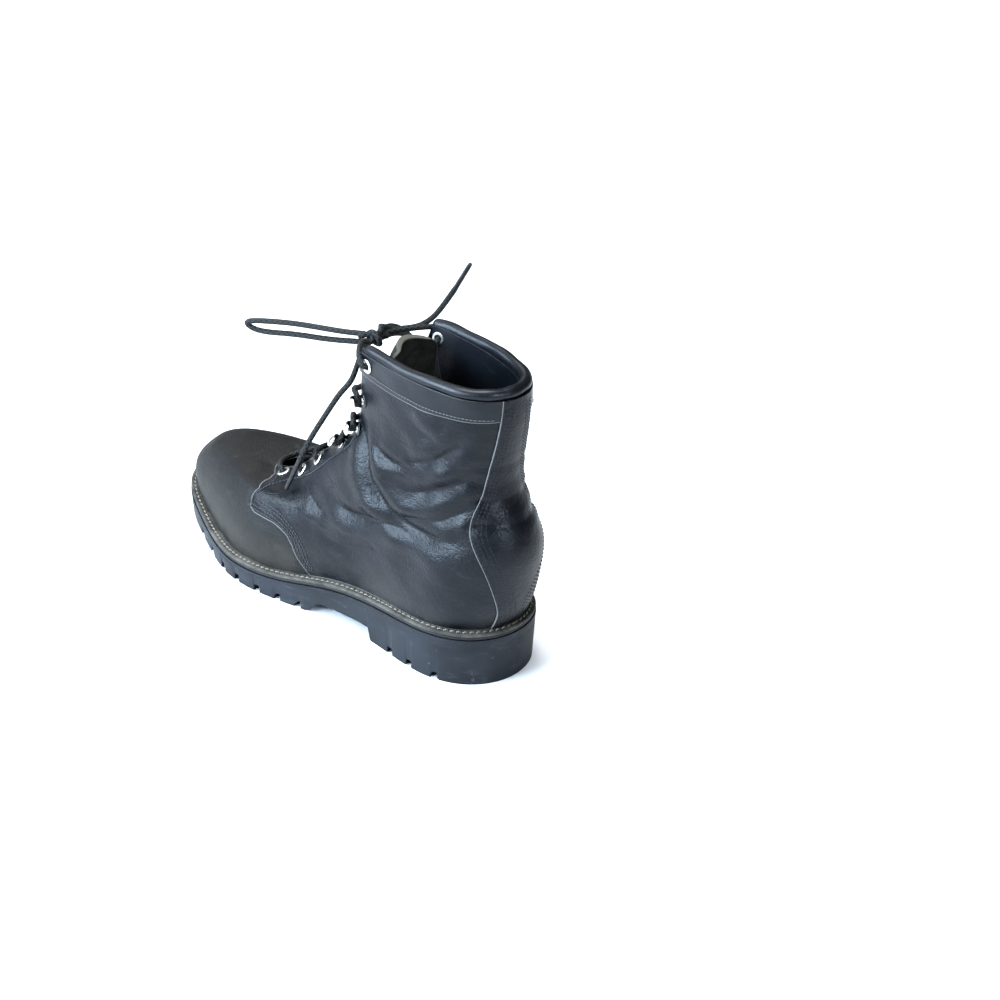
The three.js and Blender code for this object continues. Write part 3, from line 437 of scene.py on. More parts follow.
# %% The leather finishes
def leather(name, dark, worn, gloss, scuffs, pores, dust=0.0, scuff_tone=(0.07, 0.07, 0.066), shine=0.5):
    """Pores from cells, creases from cell borders, patches and scuffs from noise."""
    f = Finish(name)
    patches = f.noise(22, 3)
    pebbles = f.cells(640)
    creases = f.cells(240, feature="DISTANCE_TO_EDGE")
    fibre = f.noise(1500, 5, 0.65)
    marks = f.noise(60, 8, 0.72, f.stretched((1, 1, 2.2))).step(0.56, 0.72)
    scratches = f.noise(260, 3, 0.5, f.stretched((1, 0.12, 0.35))).step(0.62, 0.7)
    scuffed = (marks * 0.8 + scratches * 0.35) * scuffs
    cut = f.attribute("cut_edge").step(0.15, 0.9)
    height_of_place = f.node("ShaderNodeSeparateXYZ", None, {"Vector": f.place}, out="Z")
    dusty = (1 - height_of_place.step(0.028, 0.06)) * patches.step(0.35, 0.65) * dust
    base = f.colour(dark, worn, patches.step(0.3, 0.72) * 0.6 + fibre * 0.12)
    base = f.colour(base, scuff_tone, scuffed * 0.5)
    base = f.colour(base, (0.075, 0.068, 0.058), dusty)
    base = f.colour(base, (0.20, 0.20, 0.195), cut * 0.7)
    wrinkles = f.noise(105, 6, 0.62, f.stretched((1, 0.55, 1.3)))
    pores_and_creases = pebbles.math("MINIMUM", 0.55) * 0.7 + creases.step(0.0, 0.12) * 0.3
    grain = pores_and_creases + fibre * 0.4 + wrinkles * 3.2
    roughness = gloss + patches * 0.16 + scuffed * 0.22 + cut * 0.2 + dusty * 0.3
    return f.done(grain, 0.00016 * pores, 0.55, Base_Color=base, Roughness=roughness,
                  Specular_IOR_Level=shine)


quarter_leather = leather("satin_black_leather", (0.003, 0.0037, 0.0055),
                          (0.008, 0.0095, 0.0135), 0.28, 0.35, 2.0, 0.4, (0.055, 0.058, 0.064), 0.26)
vamp_leather = leather("worn_toe_leather", (0.0065, 0.0063, 0.006),
                       (0.017, 0.0162, 0.0148), 0.46, 0.8, 2.4, 0.35, (0.065, 0.065, 0.054), 0.22)
collar_leather = leather("soft_collar_leather", (0.004, 0.005, 0.007),
                         (0.009, 0.011, 0.015), 0.28, 0.2, 1.0, shine=0.34)
lining_leather = leather("lining_leather", (0.004, 0.004, 0.005),
                         (0.010, 0.010, 0.012), 0.5, 0.2, 1.0)

# %% [markdown]
# ## Tongue, thread, lace, rubber and metal
# The tongue is leather with its rough side out: a fuzzy grey-olive nap. Thread is
# twisted, and the lace is a round braid, so both carry slanting ridges that follow
# their length. The sole is matt rubber with pale drag marks along its wall. The eyelets
# and rivets are nickel plated, and all the metal has tiny dull spots. The hook heads are a
# brighter cream metal as a painted highlight, and the hook straps and base plates a near
# black metal as painted shade.

# %% The other finishes
def nap():
    """Rough leather: short fibres as fine noise, in two tones."""
    f = Finish("rough_tongue_leather")
    clumps, fibre = f.noise(120, 6, 0.7), f.noise(1800, 4, 0.75)
    base = f.colour((0.014, 0.014, 0.012), (0.060, 0.058, 0.048), clumps.step(0.3, 0.7) * 0.6 + fibre * 0.4)
    base = f.colour(base, (0.135, 0.128, 0.108), f.attribute("cut_edge").step(0.2, 0.9) * 0.6)
    return f.done(fibre + clumps * 0.6, 0.0005, 0.8, Base_Color=base, Roughness=0.95,
                  Specular_IOR_Level=0.15)


def twisted(name, pale, deep, turns, ridges, gloss=0.8, depth=0.00025):
    """Ridges that wind round a strand: sin of the length times turns plus the turn round
    it, both ways for a braid and one way for a thread."""
    f = Finish(name)
    place = f.node("ShaderNodeUVMap", {"uv_map": "place"})
    length = f.node("ShaderNodeSeparateXYZ", None, {"Vector": place}, out="X")
    around = f.node("ShaderNodeSeparateXYZ", None, {"Vector": place}, out="Y")
    spin = around * (2 * math.pi * ridges)
    one = (length * turns + spin).math("SINE")
    other = (length * turns - spin).math("SINE")
    weave = one.math("MAXIMUM", other) * 0.5 + 0.5 if ridges > 1 else one * 0.5 + 0.5
    fluff = f.noise(900, 3)
    base = f.colour(deep, pale, weave * 0.55 + fluff * 0.35)
    return f.done(weave + fluff * 0.4, depth, 0.7, Base_Color=base, Roughness=gloss, Specular_IOR_Level=0.2)


def rubber():
    """Matt rubber with long drag marks, pale dust in patches and a fine mould grain."""
    f = Finish("sole_rubber")
    drag = f.noise(70, 7, 0.7, f.stretched((1, 0.35, 2.6))).step(0.5, 0.78)
    patches, grain = f.noise(30, 4), f.noise(1400, 3)
    chips = f.noise(210, 6, 0.7).step(0.63, 0.7)
    base = f.colour((0.007, 0.0085, 0.011), (0.021, 0.0245, 0.031), patches.step(0.3, 0.7) * 0.8)
    base = f.colour(base, (0.085, 0.092, 0.10), drag * 0.45)
    base = f.colour(base, (0.16, 0.15, 0.135), chips * 0.35)
    return f.done(grain * 0.6 + drag * 0.4 - chips * 0.5, 0.0002, 0.5,
                  Base_Color=base, Roughness=0.5 + drag * 0.2 + patches * 0.12, Specular_IOR_Level=0.28)


def strip_leather():
    """The welt: dry, dusty leather, greyer on top, darker in its pores."""
    f = Finish("welt_leather")
    patches, fibre = f.noise(90, 6, 0.65), f.noise(1300, 4, 0.7)
    base = f.colour((0.022, 0.0205, 0.018), (0.095, 0.088, 0.076),
                    patches.step(0.35, 0.68) * 0.75 + fibre * 0.15)
    return f.done(fibre + patches, 0.0003, 0.7, Base_Color=base, Roughness=0.8)


def plated(name, tone, gloss):
    """Plated metal with dull spots and fine rubbing marks."""
    f = Finish(name)
    spots, rub = f.noise(700, 6, 0.7).step(0.52, 0.7), f.noise(300, 3, 0.5, f.stretched((1, 1, 6)))
    base = f.colour(tone, tuple(c * 0.45 for c in tone), spots * 0.6)
    return f.done(rub, 0.00004, 0.3, Base_Color=base, Metallic=1.0,
                  Roughness=gloss + spots * 0.25 + rub * 0.08)


def plain(name, first, second, gloss, scale, depth=0.0002):
    """A hidden or small part in two close tones with a fine grain."""
    f = Finish(name)
    speck = f.noise(scale, 5, 0.65)
    return f.done(speck, depth, 0.5, Base_Color=f.colour(first, second, speck.step(0.3, 0.7)),
                  Roughness=gloss + speck * 0.1)


tongue_nap = nap()
TURN = 2 * math.pi
BRAID_TURNS, FINE_TURNS, THICK_TURNS = TURN * 260, TURN * 1200, TURN * 900
lace_braid = twisted("lace_braid", (0.05, 0.05, 0.049), (0.003, 0.003, 0.003), BRAID_TURNS, 4, 0.85, 0.0007)
grey_thread = twisted("grey_thread", (0.20, 0.20, 0.195), (0.05, 0.05, 0.05), FINE_TURNS, 1, 0.7, 0.0001)
black_thread = twisted("black_thread", (0.12, 0.125, 0.13), (0.02, 0.02, 0.022), FINE_TURNS, 1, 0.6, 0.0001)
strip_thread = twisted("strip_thread", (0.04, 0.04, 0.043), (0.008, 0.008, 0.009), FINE_TURNS, 1,
                       0.6, 0.0001)
welt_thread = twisted("welt_thread", (0.30, 0.275, 0.23), (0.09, 0.08, 0.065), THICK_TURNS, 1,
                      0.75, 0.00015)
sole_rubber, welt_leather = rubber(), strip_leather()
nickel = plated("nickel", (0.64, 0.63, 0.59), 0.34)
# Painted light on the speed hooks: the heads get a brighter cream metal than the nickel as a painted
# highlight, and the straps and base plates get a near black metal as painted shade.
hook_head_painted_highlight = plated("hook_head_painted_highlight_metal", (0.80, 0.77, 0.70), 0.24)
strap_painted_shade_metal = plated("strap_metal_painted_shade", (0.10, 0.10, 0.10), 0.32)
lace_tip = plain("lace_tip", (0.006, 0.006, 0.007), (0.02, 0.02, 0.022), 0.3, 300)
black_edge = plain("midsole_edge", (0.004, 0.004, 0.0045), (0.013, 0.012, 0.011), 0.5, 400)

# %% [markdown]
# ## The laces
# The lace is a round braid 3.6 mm thick, tied in a bow. One bow loop stands out over the
# toe and one hangs over the inner side, one end hangs and one stands up, each in its tip. A
# free stretch is a cord with its real length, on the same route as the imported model's.

# %% Cords on their routes
LACE = 3.6
KNOT = np.array([6, 27, 191])
LONG_LOOP = [(8, 20.6, 192.4), (14.6, 7, 191.4), (24.6, -19.4, 190), (33.5, -42.8, 187.1),
             (38.1, -54.5, 183.5), (36.2, -50, 180.3), (27.2, -26.1, 182.1), (18.3, -2.9, 184),
             (9.6, 19, 187)]
SHORT_LOOP = [(-0.1, 22.4, 189.6), (-14, 14, 187), (-28, 8, 182), (-42, 6, 172), (-50, 10, 160),
              (-53, 14, 150), (-53, 18, 147), (-51, 19, 156), (-44, 14, 168), (-30, 13, 178),
              (-14, 17.5, 183.5), (-3, 20.3, 185)]
HANGING_END = [(8, 22.4, 186), (10, 19, 178), (13.9, 15, 161.7), (15.9, 8, 151.1),
               (17.9, -1, 136.7), (20.9, -10, 120.2), (24, -15, 108.9), (27.5, -19, 97)]
RAISED_END = [(0.2, 26.6, 197), (-6, 23.5, 193.5), (-12, 23, 190), (-22, 23, 187.5), (-31, 26.5, 187.5),
              (-37.5, 31, 191.5), (-40.5, 37, 200), (-41.5, 47.8, 216.3)]
TIPS = {"aglet_hanging": (HANGING_END[-1], (33.5, -26, 75)),
        "aglet_raised": (RAISED_END[-1], (-43.1, 58.4, 235.2))}


def free_lace(name, node, points):
    """A free stretch of lace: a tube along a smooth line through its points."""
    path = along(points, 1.0)
    piece = tube(name, path, LACE / 2, lace_braid, 14, rounded=False)
    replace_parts(piece, node)
    return piece


def tip(node):
    """The hard end of a lace: a tube that narrows a little to a rounded end."""
    start, end = (np.array(p, float) for p in TIPS[node])
    line = start + (end - start) * np.linspace(0.01, 1, 24)[:, None]
    radius = np.interp(np.linspace(0, 1, 24), [0, 0.03, 0.06, 0.9, 1], [1.75, 1.8, 1.6, 1.45, 1.3])
    piece = tube(node.replace("aglet", "lace_tip"), line, radius, lace_tip, 16)
    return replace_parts(piece, node)


hanging_tip, raised_tip = tip("aglet_hanging"), tip("aglet_raised")
free_lace("long_bow_loop", "lace_long_loop", LONG_LOOP)
free_lace("short_bow_loop", "lace_short_loop", SHORT_LOOP)
free_lace("hanging_lace_end", "lace_hanging_end", HANGING_END)
free_lace("raised_lace_end", "lace_raised_end", RAISED_END)

# %% [markdown]
# ## Where the seams run
# The quarters meet the toe piece in a curved seam, the lace facings lean back as they
# climb, and the strip over the heel seam widens at the ankle. Each line gives an angle
# for a height, or a height for an angle, in degrees.

# %% Seam lines
SIDES = {"lateral": 1, "medial": -1}
FACING_PHI = [17, 20, 22.5, 25, 29, 32, 38, 44, 48]
FACING_V = [0.41, 0.51, 0.59, 0.69, 0.79, 0.87, 0.94, 0.985, 1]
facing_phi = polyline(FACING_V, FACING_PHI)
quarter_foot = polyline([17, 34, 43, 58, 63, 65, 66.5, 69, 72, 77, 80, 83, 86, 89, 92.5],
                        [0.405, 0.391, 0.36, 0.283, 0.233, 0.212, 0.198, 0.19, 0.19, 0.187, 0.176,
                         0.158, 0.12, 0.06, 0])
backstay_phi = spline([0, 0.1, 0.2, 0.3, 0.38, 0.46, 0.52, 0.6, 0.68, 0.82, 1],
                      [168, 168, 164, 157, 149.5, 145, 147, 154.5, 158, 161, 164])
bead_foot = lambda phi: mix(0.968, 0.955, (1 - np.cos(np.radians(phi))) / 2)
band_foot = lambda phi: mix(0.94, 0.882, (1 - np.cos(np.radians(phi))) / 2)

# %% [markdown]
# ## Folds from wear
# A worn shaft creases where the ankle bends. A fold is a groove along a line seen from
# the side, with a soft ridge on each side. Its depth falls off with the distance from
# the line d as exp(-1.6 d / w), which leaves a sharp bottom, and fades out at both ends.

# %% Folds and swellings
FOLDS = [
    ([(30, 152), (42, 135), (52, 116), (69, 101), (93, 94), (121, 97)], 4.4, 6.0),
    ([(20, 90), (32, 84), (50, 86), (68, 90), (88, 90)], 2.8, 5.0),
    ([(56, 141), (66, 135), (78, 134), (90, 136)], 1.8, 3.2),
    ([(80, 141), (92, 141), (105, 147), (117, 157), (128, 168)], 2.6, 4.2),
    ([(84, 119), (97, 122), (110, 129), (131, 142)], 2.1, 3.8),
    ([(76, 99), (92, 102), (108, 107), (129, 121)], 2.0, 3.8),
    ([(128, 127), (134, 126), (142, 126)], 1.3, 2.4),
    ([(128, 110), (136, 112), (146, 112), (156, 110)], 1.7, 2.8),
    ([(126, 147), (136, 148), (146, 147)], 1.0, 2.6),
    ([(84, 168), (96, 163), (110, 160)], 1.2, 4.5),
    ([(6, 62), (24, 56), (44, 60), (64, 68)], 1.7, 7.0),
    ([(-6, 80), (6, 76), (18, 74)], 1.0, 4.0),
]
SWELLS = [(100, 172, 11, 1.8), (78, 108, 13, 2.4), (104, 114, 9, 1.8), (66, 72, 17, 2.6),
          (112, 80, 16, 2.0), (62, 122, 10, 1.8), (108, 138, 9, 1.6), (24, 104, 14, 1.6), (34, 70, 11, 1.6)]


def fold_depth(points):
    """How far the folds move each point outwards, in mm, from its y and z alone: the
    nearest place on each line gives the distance and the share of the line passed."""
    y, z = points[..., 1], points[..., 2]
    total = np.zeros_like(y)
    for line, depth, width in FOLDS:
        line = along([(0, *place) for place in line], 1.5)[:, 1:]
        apart = np.hypot(y[..., None] - line[:, 0], z[..., None] - line[:, 1])
        near = apart.argmin(-1)
        d = apart.min(-1) / width
        share = near / (len(line) - 1)
        fade = 0.15 + 0.85 * smooth(0, 0.25, share) * smooth(1, 0.75, share)
        ridge, groove = 0.5 * np.exp(-((d - 1.9) / 1.2) ** 2), np.exp(-np.sqrt(d * d * 2.6 + 0.04))
        total += depth * fade * (ridge - groove)
    for at_y, at_z, reach, height in SWELLS:
        total += height * np.exp(-((y - at_y) ** 2 + (z - at_z) ** 2) / reach ** 2)
    return total


def worn_layer(phi, v, offset):
    """A layer of leather with its folds, which fade out towards the front and the welt."""
    base = layer(phi, v, offset)
    v = np.broadcast_to(v, base.shape[:-1])
    turn = np.abs((np.degrees(phi) + 180) % 360 - 180)
    keep = smooth(0.0, 0.16, v) * smooth(1.0, 0.93, v) * smooth(12, 50, turn)
    keep = keep * mix(0.3, 1, smooth(170, 148, turn))
    waves = 0.22 * np.sin(base[..., 1] * 0.21 + base[..., 2] * 0.13) * np.sin(base[..., 2] * 0.17 + 1)
    return base + outward(phi, v) * ((fold_depth(base) + waves) * keep)[..., None]


def near_edge(rows, columns, width, points, open_sides):
    """1 at the cut sides (bottom, top, left, right) and 0 from width mm inside them, by
    the distance run along the grid."""
    across = np.linalg.norm(np.diff(points, axis=1), axis=-1)
    down = np.linalg.norm(np.diff(points, axis=0), axis=-1)
    run_v = np.concatenate([np.zeros((rows, 1)), across.cumsum(1)], 1)
    run_s = np.concatenate([np.zeros((1, columns)), down.cumsum(0)], 0)
    gaps = {"b": run_v, "t": run_v[:, -1:] - run_v, "l": run_s, "r": run_s[-1:] - run_s}
    if not open_sides:
        return np.zeros((rows, columns))
    nearest = np.min([gaps[side] for side in open_sides], 0)
    return 1 - smooth(0, width, nearest)


def leather_piece(name, spot, outer, thick, rows, columns, material, node=None, turned=False,
                  worn=True, cut="b", soft=0.45):
    """A piece of leather on the skin. spot(s, t) gives its angle in degrees and height on
    a grid of s by t, its outer face lies at outer mm, and its edges are rounded."""
    s, t = np.meshgrid(np.linspace(0, 1, rows), np.linspace(0, 1, columns), indexing="ij")
    angle, v = spot(s, t)
    phi = np.radians(angle)
    make = worn_layer if worn else layer
    if turned:
        phi, v = -phi[::-1], v[::-1]
        outer = outer[::-1] if np.ndim(outer) else outer
    middle = np.asarray(outer) - 0 * v
    front, rear = make(phi, v, middle), make(phi, v, middle - thick)
    points, faces = shell(front, rear)
    edge = near_edge(rows, columns, 1.1, front, cut)
    mesh = mesh_of(name, points, faces, 50, edge=np.concatenate([edge.ravel(), edge.ravel()]))
    piece = link(name, mesh, material)
    round_edges(piece, soft)
    if node:
        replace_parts(piece, node)
    return piece, front

# %% [markdown]
# ## Toe piece and quarters
# The toe piece runs from the outer side over the toe to the inner side, and its back
# edge goes under the quarters, so it dips by 1.15 mm there. Each quarter is one
# large piece from the facing to the heel, on a grid whose front column follows the
# facing and whose bottom row follows the seam.

# %% Toe piece
vamp_top = polyline([0, 17, 34, 43, 58, 66, 75, 84, 92, 97, 101],
                    [0.408, 0.406, 0.405, 0.395, 0.34, 0.285, 0.265, 0.24, 0.18, 0.11, 0.03])


def vamp_spot(s, t):
    """Angles from -101 to 101 degrees, and heights from the welt to the hidden edge."""
    angle = mix(-101, 101, s)
    return angle, t * vamp_top(np.abs(angle))


s, t = np.meshgrid(np.linspace(0, 1, 180), np.linspace(0, 1, 70), indexing="ij")
angle, v = vamp_spot(s, t)
room = quarter_foot(np.maximum(17, np.abs(angle))) - v
dip = -1.15 * smooth(0.05, 0.0, room) * smooth(12, 20, np.abs(angle))
toe_crease = 0.5 * np.exp(-((skin(np.radians(angle), v)[..., 1] + 66) / 5) ** 2) * smooth(0.2, 0.4, v)
leather_piece("toe_piece", vamp_spot, 0.15 + dip - toe_crease, 2.0, 180, 70, vamp_leather, "vamp",
              worn=False, cut="t")

# %% Quarters
def quarter_spot(s, t):
    """Front column on the facing, last column at the heel, bottom row on the seam."""
    share = s ** 1.8
    front = facing_phi(mix(0.405, 0.968, t))
    angle = mix(front, 180, share)
    foot = quarter_foot(mix(17, 180, share))
    return angle, mix(foot, bead_foot(angle), t)


for word, side in SIDES.items():
    leather_piece(f"quarter_{word}_leather", quarter_spot, 0.95, 1.9, 230, 140, quarter_leather,
                  f"quarter_{word}", turned=side < 0, cut="bl")

# %% [markdown]
# ## Heel strip, collar band and collar roll
# A strip covers the heel seam from welt to collar. A band of softer leather runs under
# the collar, and the collar itself is leather rolled over foam, a tube 7.5 mm thick.

# %% Strip, band and roll
def strip_spot(s, t):
    """Between the strip's two edges, which follow one line on each side of the heel."""
    v = mix(0.002, bead_foot(180) + 0.012, t)
    edge = backstay_phi(v)
    return mix(edge, 360 - edge, s), v


leather_piece("heel_strip", strip_spot, 2.15, 1.25, 60, 120, quarter_leather, "backstay", cut="lr")


def band_spot(s, t):
    """From the facing back to the heel strip, between the band's foot and the roll."""
    v = mix(0.9, 0.96, t)
    angle = mix(facing_phi(v) + 0.6, backstay_phi(v) + 2, s)
    return angle, mix(band_foot(angle), bead_foot(angle) + 0.012, t)


for word, side in SIDES.items():
    leather_piece(f"collar_band_{word}_leather", band_spot, 1.85, 0.95, 120, 14, collar_leather,
                  f"collar_band_{word}", turned=side < 0, cut="b")


def collar_line(offset, rise, count=220, start=46.5):
    """Points round the collar edge, at an offset from the skin and a rise above it."""
    angle = np.linspace(start, 360 - start, count)
    toe_angle = np.where(angle > 180, 360 - angle, angle)
    line = layer(np.radians(angle), bead_foot(toe_angle), offset)
    line[:, 2] += rise + 0.35 * np.sin(angle * 0.13) * np.sin(np.radians(angle)) ** 2
    return line


roll_path = collar_line(-2.39, 4.3)
roll = tube("collar_roll", roll_path, 3.75 + 0.12 * np.sin(np.arange(220) * 0.31), collar_leather, 28)
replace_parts(roll, "collar_bead")

# %% [markdown]
# ## Inside the shaft
# The lining is smooth dark leather with a deeper collar facing sewn to it. Foam pads the
# collar between lining and quarter, and a moulded footbed lies on the insole board.

# %% Lining, facing, foam and footbed
lining_foot = polyline([17, 34, 43, 58, 66, 75, 84, 92, 97, 101, 104],
                       [0.45, 0.45, 0.43, 0.36, 0.3, 0.28, 0.255, 0.195, 0.125, 0.045, 0])


def lining_spot(s, t):
    """All round the heel from one facing to the other, closer spaced at both ends."""
    ease = 1 - (1 - np.abs(2 * s - 1)) ** 2.1
    angle = 180 + 156 * np.sign(s - 0.5) * ease
    toe_angle = np.where(angle > 180, 360 - angle, angle)
    top = np.minimum(np.interp(toe_angle - 3, FACING_PHI, [0.43] + FACING_V[1:]),
                     bead_foot(toe_angle) + 0.012)
    return angle, mix(lining_foot(toe_angle), top, t)


leather_piece("shaft_lining", lining_spot, -4.4, 1.3, 200, 60, lining_leather, "quarter_lining",
              worn=False, cut="")


def facing_spot(s, t):
    """A band inside the collar: 22 mm deep at the heel, 40 mm at 64 degrees and 5 mm at
    its two ends."""
    angle = mix(42, 318, s)
    toe_angle = np.where(angle > 180, 360 - angle, angle)
    foot = bead_foot(toe_angle) - 0.13 * smooth(40, 64, toe_angle)
    return angle, mix(foot, bead_foot(toe_angle) + 0.012, t)


leather_piece("collar_facing", facing_spot, -5.72, 0.8, 200, 16, collar_leather, None,
              worn=False, cut="b")


def toe_lining_spot(s, t):
    angle = mix(-101, 101, s)
    return angle, t * (vamp_top(np.abs(angle)) - 0.012)


s, t = np.meshgrid(np.linspace(0, 1, 90), np.linspace(0, 1, 30), indexing="ij")
angle, v = toe_lining_spot(s, t)
cap_step = 1 - smooth(TOE_Y + 68, TOE_Y + 92, skin(np.radians(angle), v)[..., 1])
lining_cloth = plain("lining_cloth", (0.008, 0.008, 0.009), (0.022, 0.022, 0.024), 0.9, 1600)
leather_piece("toe_lining", toe_lining_spot, -4.885 - 3.195 * cap_step, 1.4, 90, 30, lining_cloth,
              "vamp_lining", worn=False, cut="")


def padding_spot(s, t):
    angle = mix(64, 296, s)
    toe_angle = np.where(angle > 180, 360 - angle, angle)
    return angle, mix(band_foot(toe_angle) - 0.04, bead_foot(toe_angle) - 0.003, t)


foam = plain("foam", (0.03, 0.03, 0.032), (0.07, 0.07, 0.072), 0.9, 900, 0.0004)
s, t = np.meshgrid(np.linspace(0, 1, 120), np.linspace(0, 1, 14), indexing="ij")
swell = 0.35 * np.sin(math.pi * t) * np.sin(math.pi * s) ** 0.2
padding, _ = leather_piece("collar_padding_foam", padding_spot, -1.85 + swell, 1.5, 120, 14, foam,
                           "collar_padding", worn=False, cut="")


def sole_plate(name, inset, top, foot, material, node, crown=0.0, body_rows=120):
    """A plate between two heights. Each cross row runs from the outer edge to the inner
    one, and the top rises towards its edges by crown, as a moulded footbed does."""
    phi = np.radians(np.linspace(3, 177, body_rows))
    right, left = outline(phi, inset), outline(-phi, inset)
    g = np.linspace(0, 1, 17)[:, None]
    row = right[:, None] * (1 - g) + left[:, None] * g
    y = row[..., 1]
    cup = crown * np.abs(2 * g[:, 0] - 1) ** 2.5
    upper = np.dstack([row, top(y) + cup - crown * 0.5])
    lower = np.dstack([row, foot(y)])
    points, faces = shell(upper, lower)
    piece = link(name, mesh_of(name, points, faces, 40), material)
    round_edges(piece, 0.5, 2, 50)
    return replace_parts(piece, node)


GAP = 0.3
welt_top = lambda y: feather_z(y) - GAP
welt_foot = lambda y: welt_top(y) - 2.3
cork_top = lambda y: welt_foot(y) + 2.3
board_top = lambda y: cork_top(y) + GAP + 2.5
bed_cloth = plain("footbed_cloth", (0.012, 0.012, 0.014), (0.035, 0.035, 0.038), 0.9, 1200)
bed = sole_plate("moulded_footbed", 17.6, lambda y: board_top(y) + 4.8, lambda y: board_top(y) + GAP,
                 bed_cloth, "footbed", crown=1.2)

# %% [markdown]
# ## Tongue
# The tongue is one thick piece with its rough side out, sewn in under the toe piece and
# free at the top, where it leans back and shows its fuzzy face and paler rim.

# %% The tongue
TONGUE_LINE = [(-1, -76, 58), (-1, -68, 60.6), (-1, -61, 63.8), (-1, -54, 64.2),
               (-1, -46, 64.9), (-1, -30, 74.6), (-1, -14, 89.3), (-1, 3, 104),
               (-1, 19, 119), (-1, 29, 137), (-1, 35, 157), (-1, 40, 180), (-1, 44, 197)]
middle = along(TONGUE_LINE, 1.5)
u = np.linspace(0, 1, len(middle))
ahead, _, _ = frames(middle)
front = np.cross((1, 0, 0), ahead)
half = mix(15, 21, smooth(0, 0.45, u)) * np.sqrt(np.clip(1 - smooth(0.93, 1.02, u) ** 2 * 0.8, 0, 1))
bow = mix(8, 13.5, smooth(0.1, 0.45, u)) - 3 * smooth(0.75, 1, u)
thick = mix(2.6, 4.5, smooth(0.1, 0.4, u))
w = np.linspace(-1, 1, 34)[None, :]
ripple = 0.5 * np.sin(u[:, None] * 30 + 2 * w) * smooth(0.5, 1, u)[:, None] * (1 - w * w)


def tongue_face(depth):
    """Across the middle line by w half widths, and back by bow times w squared."""
    point = middle[:, None] + np.array((1, 0, 0)) * (w * half[:, None])[..., None]
    return point + front[:, None] * (ripple - bow[:, None] * w * w - depth)[..., None]


slim = thick[:, None] * (1 - 0.55 * np.abs(w) ** 6)
points, faces = shell(tongue_face(0.0), tongue_face(slim))
rim = near_edge(len(middle), 34, 2.2, tongue_face(0.0), "btr")
tongue = link("rough_tongue", mesh_of("rough_tongue", points, faces, 60,
                                      edge=np.concatenate([rim.ravel()] * 2)),
              tongue_nap, "tongue")
round_edges(tongue, 0.8, 3, 55)
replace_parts(tongue, "tongue")

# %% [markdown]
# ## Stitches
# A lockstitch shows as short slanting grains of thread, each rising out of one hole and
# going down the next. One grain is a small spindle of 26 faces, carried along the seam
# line, so a whole row is one array of points.

# %% Rows of stitches
def spindles(centres, ahead, over, length, radius):
    """Points and faces of many stitches. Each has five rings of six points, thin at both
    ends, and its ends go down by its radius, as the cosine of the way from its middle."""
    way = np.array([-1, -0.62, 0, 0.62, 1])
    size = np.array([0.45, 0.9, 1, 0.9, 0.45]) * radius
    lift = (np.cos(way * math.pi / 2) - 0.35) * radius
    turn = np.linspace(0, 2 * math.pi, 6, endpoint=False)
    side = np.cross(ahead, over)
    ring = (side[:, None, None] * np.cos(turn)[:, None] + over[:, None, None] * np.sin(turn)[:, None])
    spine = (centres[:, None] + ahead[:, None] * (way * length / 2)[:, None]
             + over[:, None] * lift[:, None])
    points = spine[:, :, None] + ring * size[:, None, None]
    one = grid_faces(5, 6, round_columns=True)[:, ::-1]
    caps = [tuple(range(5, -1, -1)), tuple(range(24, 30))]
    faces = [tuple(f + 30 * k) for k in range(len(centres)) for f in one]
    faces += [tuple(c + 30 * k for c in cap) for k in range(len(centres)) for cap in caps]
    place = np.stack(np.broadcast_arrays((way * length / 2 * MM)[:, None], turn[None] / 6.283), -1)
    return points.reshape(-1, 3), faces, np.tile(place.reshape(-1, 2), (len(centres), 1))


def stitched(name, rows, pitch, length, radius, thread, slant=0.0):
    """Rows of stitches as one piece. A row is a function that gives points on the leather
    and normals there for a fine run of shares, and stitches are spaced by its length."""
    parts, links, places, count = [], [], [], 0
    for row in rows:
        fine, normal = row(np.linspace(0, 1, 400))
        run = np.r_[0, np.cumsum(np.linalg.norm(np.diff(fine, axis=0), axis=1))]
        at = np.arange(pitch / 2, run[-1], pitch)
        pick = lambda values, where: np.stack([np.interp(where, run, values[:, k]) for k in range(3)], 1)
        over = unit(pick(normal, at))
        ahead = unit(pick(fine, at + 0.3) - pick(fine, at - 0.3))
        ahead = unit(ahead - over * (ahead * over).sum(1, keepdims=True))
        ahead = unit(ahead + np.cross(over, ahead) * slant)
        points, faces, place = spindles(pick(fine, at), ahead, over, length, radius)
        parts.append(points)
        links += [tuple(i + count for i in f) for f in faces]
        places.append(place)
        count += len(points)
    mesh = mesh_of(name, np.concatenate(parts), links, 80, np.concatenate(places))
    return link(name, mesh, thread)


def seam(angles, heights, side, offset, worn=True):
    """A row through places given by angle and height, at an offset above the skin."""
    knots = np.r_[0, np.cumsum(np.hypot(np.diff(angles) * 0.9, np.diff(heights) * 170))]
    bend_a, bend_v = spline(knots, angles), spline(knots, heights)

    def row(share):
        where = share * knots[-1]
        phi, v = side * np.radians(bend_a(where)), bend_v(where)
        make = worn_layer if worn else layer
        return make(phi, v, np.full_like(v, offset)), outward(phi, v)
    return row


